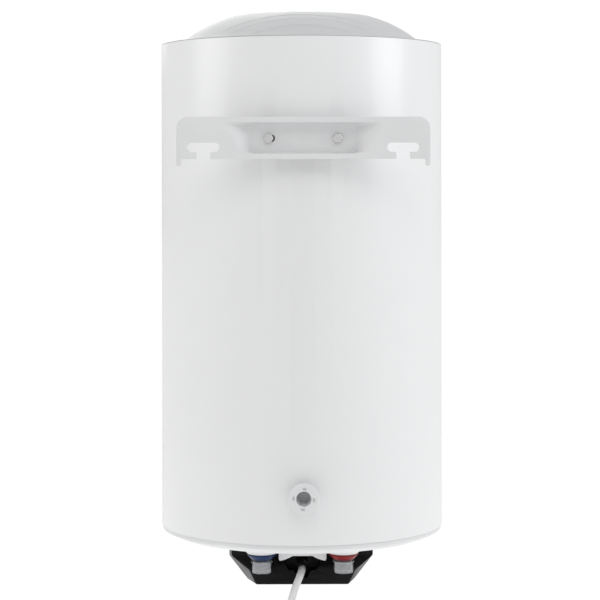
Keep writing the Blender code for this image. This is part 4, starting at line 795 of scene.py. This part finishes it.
def make_fittings():
    """Coloured collars under the bosses, and lipped caps over the threads."""
    for side, word in PIPES:
        paint = "blue_plastic" if side > 0 else "red_plastic"
        centre = (side * PIPE_PLACE[0], PIPE_PLACE[1], 0)
        wide, narrow, high, low = COLLAR
        inside = PIPE_RADIUS + 0.0002
        profile = [(inside, high), (wide - 0.0004, high), (wide, high - 0.0004), (wide, high - 0.0011),
                   (wide - 0.0003, high - 0.0015)]
        profile += [(narrow + 0.0006, low + 0.0006), (narrow, low + 0.0002), (narrow - 0.0003, low),
                    (inside, low)]
        form = bmesh.new()
        spin(form, profile, 96, centre)
        piece(f"{word}_ring", form, paint, instead=(f"{word}_collar",))

        radius, bore, top, foot = CAP
        lip, lip_height = CAP_LIP
        profile = [(0, foot), (bore - 0.0006, foot), (radius - 0.0002, foot + 0.0004),
                   (radius, foot + 0.0010), (radius, top - lip_height - 0.0006),
                   (radius + 0.0004, top - lip_height),
                   (lip - 0.0003, top - lip_height), (lip, top - lip_height + 0.0003), (lip, top - 0.0003),
                   (lip - 0.0003, top), (bore, top), (bore, PIPE_END - CAP_ROOM), (0, PIPE_END - CAP_ROOM)]
        form = bmesh.new()
        spin(form, profile, 72, centre)
        piece(f"{word}_cap", form, "translucent_plastic", f"{word}_thread_cap", (f"{word}_thread_cap",))


# ---------------------------------------------------------------- wall bracket and spacer
def bracket_outline():
    slot, mouth, end = 0.1157, 0.00785, 0.0185
    slot_top, slot_foot = 0.4697, 0.4588
    tip = BRACKET_FOOT - 0.0081
    corners = [((BRACKET_SIDE, BRACKET_TOP), 0.0135), ((BRACKET_SIDE, tip), 0.0025),
               ((BRACKET_SIDE - 0.0056, tip), 0.0025), ((BRACKET_SIDE - 0.0056, BRACKET_FOOT), 0.0012),
               ((slot + mouth, BRACKET_FOOT), 0.0010), ((slot + mouth, slot_foot), 0.0008),
               ((slot + end, slot_foot), 0.0052), ((slot + end, slot_top), 0.0052),
               ((slot - end, slot_top), 0.0052), ((slot - end, slot_foot), 0.0052),
               ((slot - mouth, slot_foot), 0.0008), ((slot - mouth, BRACKET_FOOT), 0.0010)]
    radii = [radius for _, radius in corners]
    return rounded(mirrored([spot for spot, _ in corners]), radii + radii[::-1], 8)


def web_outline(grow):
    """The pressed recess at one depth, from its floor at 0 to the wall's plane at 1."""
    top, foot, side, reach = WEB
    ramp = side + grow * reach
    lean = grow * 0.0018
    tail = side + grow * (reach + 0.014)
    half = [(0, top + lean), (side, top + lean), (tail, top + lean),
            (tail - grow * 0.004, WEB_MIDDLE + 0.010 * grow + (1 - grow) * 0.008), (ramp, WEB_MIDDLE),
            (ramp - grow * 0.003, foot + 0.004), (side, foot - lean), (0, foot - lean)]
    return half + [(-x, z) for x, z in reversed(half[1:-1])]


def softened(outline, times):
    """Corner cutting: each corner gives way to two points on its sides."""
    points = [Vector(point) for point in outline]
    for _ in range(times):
        cut = []
        for index, point in enumerate(points):
            after = points[(index + 1) % len(points)]
            reach = min(0.25, 0.004 / max((after - point).length, 1e-6))
            cut += [point.lerp(after, reach), point.lerp(after, 1 - reach)]
        points = cut
    return points


def make_bracket():
    """One pressed sheet: ears on the wall's plane and a recessed web with two oval bolt slots."""
    deep = WEB_BACK + BRACKET_SHEET
    form = bmesh.new()
    loops = []
    grows = (1.0, 0.965, 0.90, 0.78, 0.62, 0.45, 0.30, 0.17, 0.08, 0.0)
    for grow in grows:
        t = 1 - grow
        eased_depth = t * t * (1.7 - 0.7 * t)
        y = WALL + (deep - WALL) * eased_depth
        loops.append([form.verts.new((p.x, y, p.y)) for p in softened(web_outline(grow), 2)])
    for first, second in zip(loops, loops[1:]):
        bridge(form, first, second)
    edge = [form.verts.new((x, WALL, z)) for x, z in bracket_outline()]
    borders = [form.edges.new((edge[index - 1], edge[index])) for index in range(len(edge))]
    rim = [form.edges.get((loops[0][index - 1], loops[0][index])) for index in range(len(loops[0]))]
    bmesh.ops.triangle_fill(form, edges=borders + rim, use_beauty=True)
    floor = [form.edges.get((loops[-1][index - 1], loops[-1][index])) for index in range(len(loops[-1]))]
    high = BOLT_SLOT_HALF
    for middle, half in BOLT_SLOTS:
        corners = [(middle - half, WEB_MIDDLE - high), (middle + half, WEB_MIDDLE - high),
                   (middle + half, WEB_MIDDLE + high), (middle - half, WEB_MIDDLE + high)]
        hole = [form.verts.new((x, deep, z)) for x, z in rounded(corners, [high * 0.98] * 4, 8)]
        floor += [form.edges.new((hole[index - 1], hole[index])) for index in range(len(hole))]
    bmesh.ops.triangle_fill(form, edges=floor, use_beauty=True)
    bmesh.ops.recalc_face_normals(form, faces=form.faces)
    foremost = max(form.faces, key=lambda face: face.calc_center_median().y * abs(face.normal.y))
    if foremost.normal.y < 0:
        bmesh.ops.reverse_faces(form, faces=form.faces)
    mesh = bpy.data.meshes.new("bracket_sheet")
    form.to_mesh(mesh)
    form.free()
    mesh.transform(Matrix.Translation(TANK))
    made = bpy.data.objects.new("bracket_sheet", mesh)
    bpy.context.scene.collection.objects.link(made)
    mesh.materials.append(MATERIALS["white_powder_coat"])
    sheet = made.modifiers.new("sheet", "SOLIDIFY")
    sheet.thickness = BRACKET_SHEET
    sheet.offset = -1
    sheet.use_even_offset = True
    edge_round = made.modifiers.new("edges", "BEVEL")
    edge_round.width = 0.0005
    edge_round.segments = 3
    edge_round.limit_method = "ANGLE"
    edge_round.angle_limit = math.radians(60)
    apply_modifiers(made)
    made.data.shade_smooth()
    made.data.set_sharp_from_angle(angle=math.radians(40))
    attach(made, "heater")
    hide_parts("wall_bracket")


def make_bolts():
    """Hexagon bolts with a pressed washer face, in the bracket's slots."""
    seat = WEB_BACK + BRACKET_SHEET + GAP
    across, head = 0.0100, 0.0040
    corner = across / math.sqrt(3)
    for side, word in ((-1, "left"), (1, "right")):
        centre = Vector((side * 0.0403, seat, WEB_MIDDLE))
        form = bmesh.new()
        spin(form, [(0, -0.0159), (0.0022, -0.0159), (0.0030, -0.0150), (0.0030, 0.0005), (0, 0.0005)], 32,
             centre, TO_WALL)
        washer = [(0, 0), (0.0048, 0), (0.0049, 0.0003), (0.0048, 0.0006), (0, 0.0006)]
        spin(form, washer, 48, centre, TO_WALL)
        rows = []
        for scale, height in ((1.0, 0.0005), (1.0, head - 0.0011), (0.965, head - 0.0005), (0.86, head)):
            row = []
            for index in range(6):
                angle = math.radians(60 * index)
                row.append(form.verts.new(centre + Vector((corner * scale * math.cos(angle), height,
                                                           corner * scale * math.sin(angle)))))
            rows.append(row)
        form.faces.new(rows[0])
        form.faces.new(rows[-1][::-1])
        for first, second in zip(rows, rows[1:]):
            bridge(form, first, second)
        made = piece(f"bolt_{word}", form, "zinc_plated_steel", instead=(f"bracket_bolt_{word}",), angle=25)
        soften(made, 0.0003, 2, 25)


def make_spacer():
    """Round foot with a tapered recess and four small notches round it."""
    centre = (0, WALL, SPACER_HEIGHT)
    foot = [(0, -0.027), (0.0124, -0.027), (0.0134, -0.026)]
    for index in range(9):
        start = -0.0245 + index * 0.0020
        foot += [(0.0134, start), (0.0127, start + 0.0009)]
    profile = foot + [(0.0134, -0.0056), (0.0134, -0.0050), (0.0174, -0.0050), (0.0180, -0.0044),
                      (0.0180, -0.0014), (0.0177, -0.0005), (0.0170, 0), (0.0094, 0), (0.0090, -0.0004),
                      (0.0060, -0.0234), (0, -0.0234)]
    form = bmesh.new()
    spin(form, profile, 96, centre, TO_WALL)
    made = piece("spacer_foot", form, "white_plastic", "wall_spacer", ("wall_spacer",))
    tools = []
    for index in range(4):
        tool = bmesh.new()
        bar(tool, (0.0106, -0.0016, -0.0021), (0.0130, 0.0030, 0.0021))
        spun = Matrix.Translation(centre) @ Matrix.Rotation(math.radians(90 * index - 5), 4, "Y")
        tool.transform(spun)
        tools.append(piece("notch", tool, None))
    combine(made, tools)
    soften(made, 0.00025, 2)


# ---------------------------------------------------------------- service cover and controls


def cover_section(lower, back, thinner):
    outline = inset(mirrored([(lower[0][0], COVER_TOP), *lower]), thinner)
    top = COVER_TOP + (0.010 if thinner else 0)
    outline[0], outline[-1] = (outline[0][0], top), (outline[-1][0], top)
    return [(x, back, z) for x, z in outline]


def cover_shell(name, thinner, paint=None):
    form = bmesh.new()
    first = [form.verts.new(point) for point in cover_section(BACK_OUTLINE, COVER_BACK - thinner, thinner)]
    last = [form.verts.new(point) for point in cover_section(FRONT_OUTLINE, COVER_FRONT + thinner, thinner)]
    form.faces.new(first)
    form.faces.new(last[::-1])
    for index in range(len(first)):
        form.faces.new((first[index - 1], last[index - 1], last[index], first[index]))
    made = piece(name, form, paint, "service_cover", ("service_cover",))
    soften(made, 0.0016 if thinner == 0 else 0.0008, 4, 15)
    apply_modifiers(made)
    return made


def step_tool(grow):
    back, top, foot = STEP
    lower, past = grow * 0.4, COVER_BACK + 0.03
    outline = [(back - grow, 0), (back - grow, top - lower), (COVER_BACK - grow, foot - lower),
               (past, foot - lower), (past, 0)]
    form = bmesh.new()
    push(form, rounded(outline, [0, 0.0015, 0, 0, 0], 4), -0.12, 0.12, "X")
    return piece("back_step", form, None)


def recess_tool(grow):
    outline = mirrored([(RECESS[0][0], 0.01), *RECESS])
    outline = rounded(inset(outline, -grow) if grow else outline,
                      [0] + [0.0012] * 4 + [0.0012] * 4 + [0], 3)
    form = bmesh.new()
    push(form, outline, RECESS_FLOOR - grow, COVER_BACK + 0.03, "Y")
    return piece("recess", form, None)


def make_cover():
    """Black moulded tub under the tank: cord recess behind, knob pocket and sunk screws below."""
    body = cover_shell("cover_tub", 0, "black_plastic")
    room = cover_shell("cover_room", CAP_WALL)
    knob_place = (0, KNOB[0], 0)
    tools = [step_tool(CAP_WALL), recess_tool(CAP_WALL),
             rod_tool("pocket", POCKET[0] + CAP_WALL, UNDER, POCKET[1] + CAP_WALL, knob_place)]
    for side in (-1, 1):
        centre = (side * SCREWS[0], SCREWS[1], 0)
        tools.append(rod_tool("screw_boss", 0.0070, UNDER, SCREWS[2] + CAP_WALL, centre))
    combine(room, tools)
    tools = [step_tool(0), recess_tool(0),
             rod_tool("pocket", POCKET[0], UNDER, POCKET[1], knob_place, steps=64),
             room, rod_tool("shaft_way", 0.0039, UNDER, 0, knob_place)]
    for side in (-1, 1):
        centre = (side * SCREWS[0], SCREWS[1], 0)
        tools.append(rod_tool("screw_sink", 0.0039, UNDER, SCREWS[2], centre))
        tools.append(rod_tool("screw_way", 0.0021, UNDER, 0, centre))
    tools.append(rod_tool("lens_way", 0.0045, -0.01, 0.01, (0, COVER_FRONT, -0.050), TO_WALL))
    radius = 0.0068
    half = [(radius, 0.01), (radius, -0.0550)]
    half += [(radius * math.cos(math.radians(t)), -0.0550 - radius * math.sin(math.radians(t)))
             for t in range(10, 91, 10)]
    form = bmesh.new()
    push(form, half + [(-x, z) for x, z in reversed(half[:-1])], 0, 0.035, "Y")
    tools.append(piece("cord_slot", form, None))
    combine(body, tools)
    soften(body, 0.0005, 2, 50)


def make_screws():
    """Pan-head screws with a cross recess, sunk in the cover's underside."""
    for side, word in ((-1, "left"), (1, "right")):
        seat = SCREWS[2] - GAP
        profile = [(0, seat - 0.0024), (0.0012, seat - 0.0024), (0.0026, seat - 0.0021),
                   (0.0034, seat - 0.0012), (0.0036, seat - 0.0004), (0.0036, seat), (0.0018, seat)]
        for index in range(9):
            start = seat + 0.0022 + index * 0.0012
            profile += [(0.0018, start), (0.0014, start + 0.0006)]
        profile += [(0.0018, seat + 0.0132), (0, seat + 0.0143)]
        centre = Vector((side * SCREWS[0], SCREWS[1], 0))
        form = bmesh.new()
        spin(form, profile, 32, centre)
        made = piece(f"screw_{word}", form, "zinc_plated_steel", "service_cover", (f"cover_screw_{word}",))
        tools = []
        for long_x in (True, False):
            reach = (0.0019, 0.00045) if long_x else (0.00045, 0.0019)
            tool = bmesh.new()
            bar(tool, (centre.x - reach[0], centre.y - reach[1], seat - 0.004),
                (centre.x + reach[0], centre.y + reach[1], seat - 0.0012))
            tools.append(piece("cross", tool, None))
        combine(made, tools)


def make_knob():
    """Thermostat knob: ribbed rim, a grip bar with a white pointer line."""
    place, radius, top, end = KNOB
    face = end + 0.0060
    form = bmesh.new()
    steps = 96
    rows = []
    for reach, height, ribbed in ((0.0033, top, 0), (radius - 0.0004, top, 0), (radius, top - 0.0004, 1),
                                  (radius, face + 0.0010, 1), (radius - 0.0010, face, 0.3), (0, face, 0)):
        if reach == 0:
            rows.append([form.verts.new((0, place, height))] * steps)
            continue
        row = []
        for index in range(steps):
            angle = 2 * math.pi * index / steps
            there = reach - ribbed * 0.0004 * (index % 4 < 2)
            row.append(form.verts.new((there * math.cos(angle), place + there * math.sin(angle), height)))
        rows.append(row)
    bore = [form.verts.new((v.co.x, v.co.y, -0.0883)) for v in rows[0]]
    floor = form.verts.new((0, place, -0.0883))
    for first, second in zip([bore] + rows, rows):
        for index in range(steps):
            after = (index + 1) % steps
            corners = [first[index], first[after], second[after], second[index]]
            if second[index] is second[after]:
                corners = corners[:3]
            form.faces.new(corners)
    for index in range(steps):
        form.faces.new((bore[index], bore[(index + 1) % steps], floor))
    push(form, rounded([(-0.0035, place - radius + 0.0008), (0.0035, place - radius + 0.0008),
                        (0.0035, place + radius - 0.0008), (-0.0035, place + radius - 0.0008)],
                       [0.0030] * 4, 6), end, face + 0.0002)
    made = piece("knob_grip", form, "dark_grey_plastic", "thermostat_knob", ("thermostat_knob",), angle=30)
    soften(made, 0.0005, 2, 50)
    form = bmesh.new()
    bar(form, (-0.0005, place - radius + 0.0022, end - 0.00008),
        (0.0005, place - radius + 0.0105, end + 0.0004))
    piece("knob_pointer", form, "white_plastic", "thermostat_knob")


def finish_kept_nodes():
    """The CAD nodes that are shown as they are get their own surface."""
    for entry in frame["record"]["subparts"]:
        node = NODES[entry["node"]]
        node.data.materials.clear()
        node.data.materials.append(MATERIALS[entry["material_slot"]])


# ---------------------------------------------------------------- room and light
def area_light(name, place, aim, width, height, power, tint=(1, 1, 1)):
    data = bpy.data.lights.new(name, "AREA")
    data.shape = "RECTANGLE"
    data.size, data.size_y = width, height
    data.energy = power
    data.color = tint
    made = bpy.data.objects.new(name, data)
    bpy.context.scene.collection.objects.link(made)
    made.location = place
    made.rotation_euler = (Vector(aim) - Vector(place)).to_track_quat("-Z", "Y").to_euler()


def make_room():
    """Plain pale floor under a pale sky, with four large soft lights round the heater."""
    form = bmesh.new()
    reach, low = 40, -1.10
    form.faces.new([form.verts.new((x, y, low)) for x, y in
                    ((-reach, -reach), (reach, -reach), (reach, reach), (-reach, reach))])
    mesh = bpy.data.meshes.new("floor")
    form.to_mesh(mesh)
    form.free()
    floor = bpy.data.objects.new("floor", mesh)
    bpy.context.scene.collection.objects.link(floor)
    pale = painted("pale_floor", (0.93, 0.93, 0.93), (0.95, 0.95, 0.95), (0.75, 0.85), 0.5,
                   Emission_Color=(1, 1, 1, 1), Emission_Strength=FLOOR_GLOW)
    plain_to_camera(pale.node_tree, pale.node_tree.nodes["Principled BSDF"].outputs["BSDF"],
                    pale.node_tree.nodes["Material Output"].inputs["Surface"], "ShaderNodeEmission")
    mesh.materials.append(pale)

    make_sky()
    middle = (0, -0.19, -0.2)
    area_light("soft_light_left", (2.5, 0.3, 1.2), middle, 1.4, 1.4, 15)
    area_light("soft_light_right", (-2.4, 0.5, 1.3), middle, 1.4, 1.4, 21, (0.965, 0.985, 1.0))
    area_light("soft_light_above", (0, 1.2, 1.45), middle, 1.2, 0.8, 5)
    area_light("soft_light_front", (0.6, -2.6, 1.3), middle, 1.8, 1.8, 14)
    bpy.context.scene.view_settings.view_transform = "Standard"


def make_sky():
    """A pale sky that is dimmer towards +Y than to the sides; the background itself is plain white."""
    world = bpy.data.worlds.new("pale_sky")
    bpy.context.scene.world = world
    world.use_nodes = True
    tree = world.node_tree
    direction = tree.nodes.new("ShaderNodeSeparateXYZ")
    tree.links.new(tree.nodes.new("ShaderNodeTexCoord").outputs["Generated"], direction.inputs["Vector"])
    levels = []
    spreads = (("Y", *SKY_FRONT, SKY_SIDE, SKY_DIM), ("X", *SKY_TURN, 1.0, SKY_LEFT))
    for axis, low, high, start, end in spreads:
        spread = tree.nodes.new("ShaderNodeMapRange")
        spread.interpolation_type = "SMOOTHSTEP"
        spread.inputs["From Min"].default_value = low
        spread.inputs["From Max"].default_value = high
        spread.inputs["To Min"].default_value = start
        spread.inputs["To Max"].default_value = end
        tree.links.new(direction.outputs[axis], spread.inputs["Value"])
        levels.append(spread.outputs["Result"])
    level = tree.nodes.new("ShaderNodeMath")
    level.operation = "MULTIPLY"
    tree.links.new(levels[0], level.inputs[0])
    tree.links.new(levels[1], level.inputs[1])
    sky = tree.nodes["Background"]
    sky.inputs["Color"].default_value = (1, 1, 1, 1)
    tree.links.new(level.outputs["Value"], sky.inputs["Strength"])
    plain_to_camera(tree, sky.outputs["Background"], tree.nodes["World Output"].inputs["Surface"],
                    "ShaderNodeBackground")


def plain_to_camera(tree, lit, surface, kind):
    """The backdrop and floor light the heater by their own shader, and are seen as even white."""
    seen = tree.nodes.new(kind)
    seen.inputs["Color"].default_value = (1, 1, 1, 1)
    seen.inputs["Strength"].default_value = SEEN_WHITE
    rays = tree.nodes.new("ShaderNodeLightPath")
    mix = tree.nodes.new("ShaderNodeMixShader")
    tree.links.new(rays.outputs["Is Camera Ray"], mix.inputs["Fac"])
    tree.links.new(lit, mix.inputs[1])
    tree.links.new(seen.outputs[0], mix.inputs[2])
    tree.links.new(mix.outputs["Shader"], surface)


make_jacket()
make_dome()
make_bottom()
make_plate()
make_pipes()
make_fittings()
make_bracket()
make_bolts()
make_spacer()
make_cover()
make_screws()
make_knob()
finish_kept_nodes()
make_room()
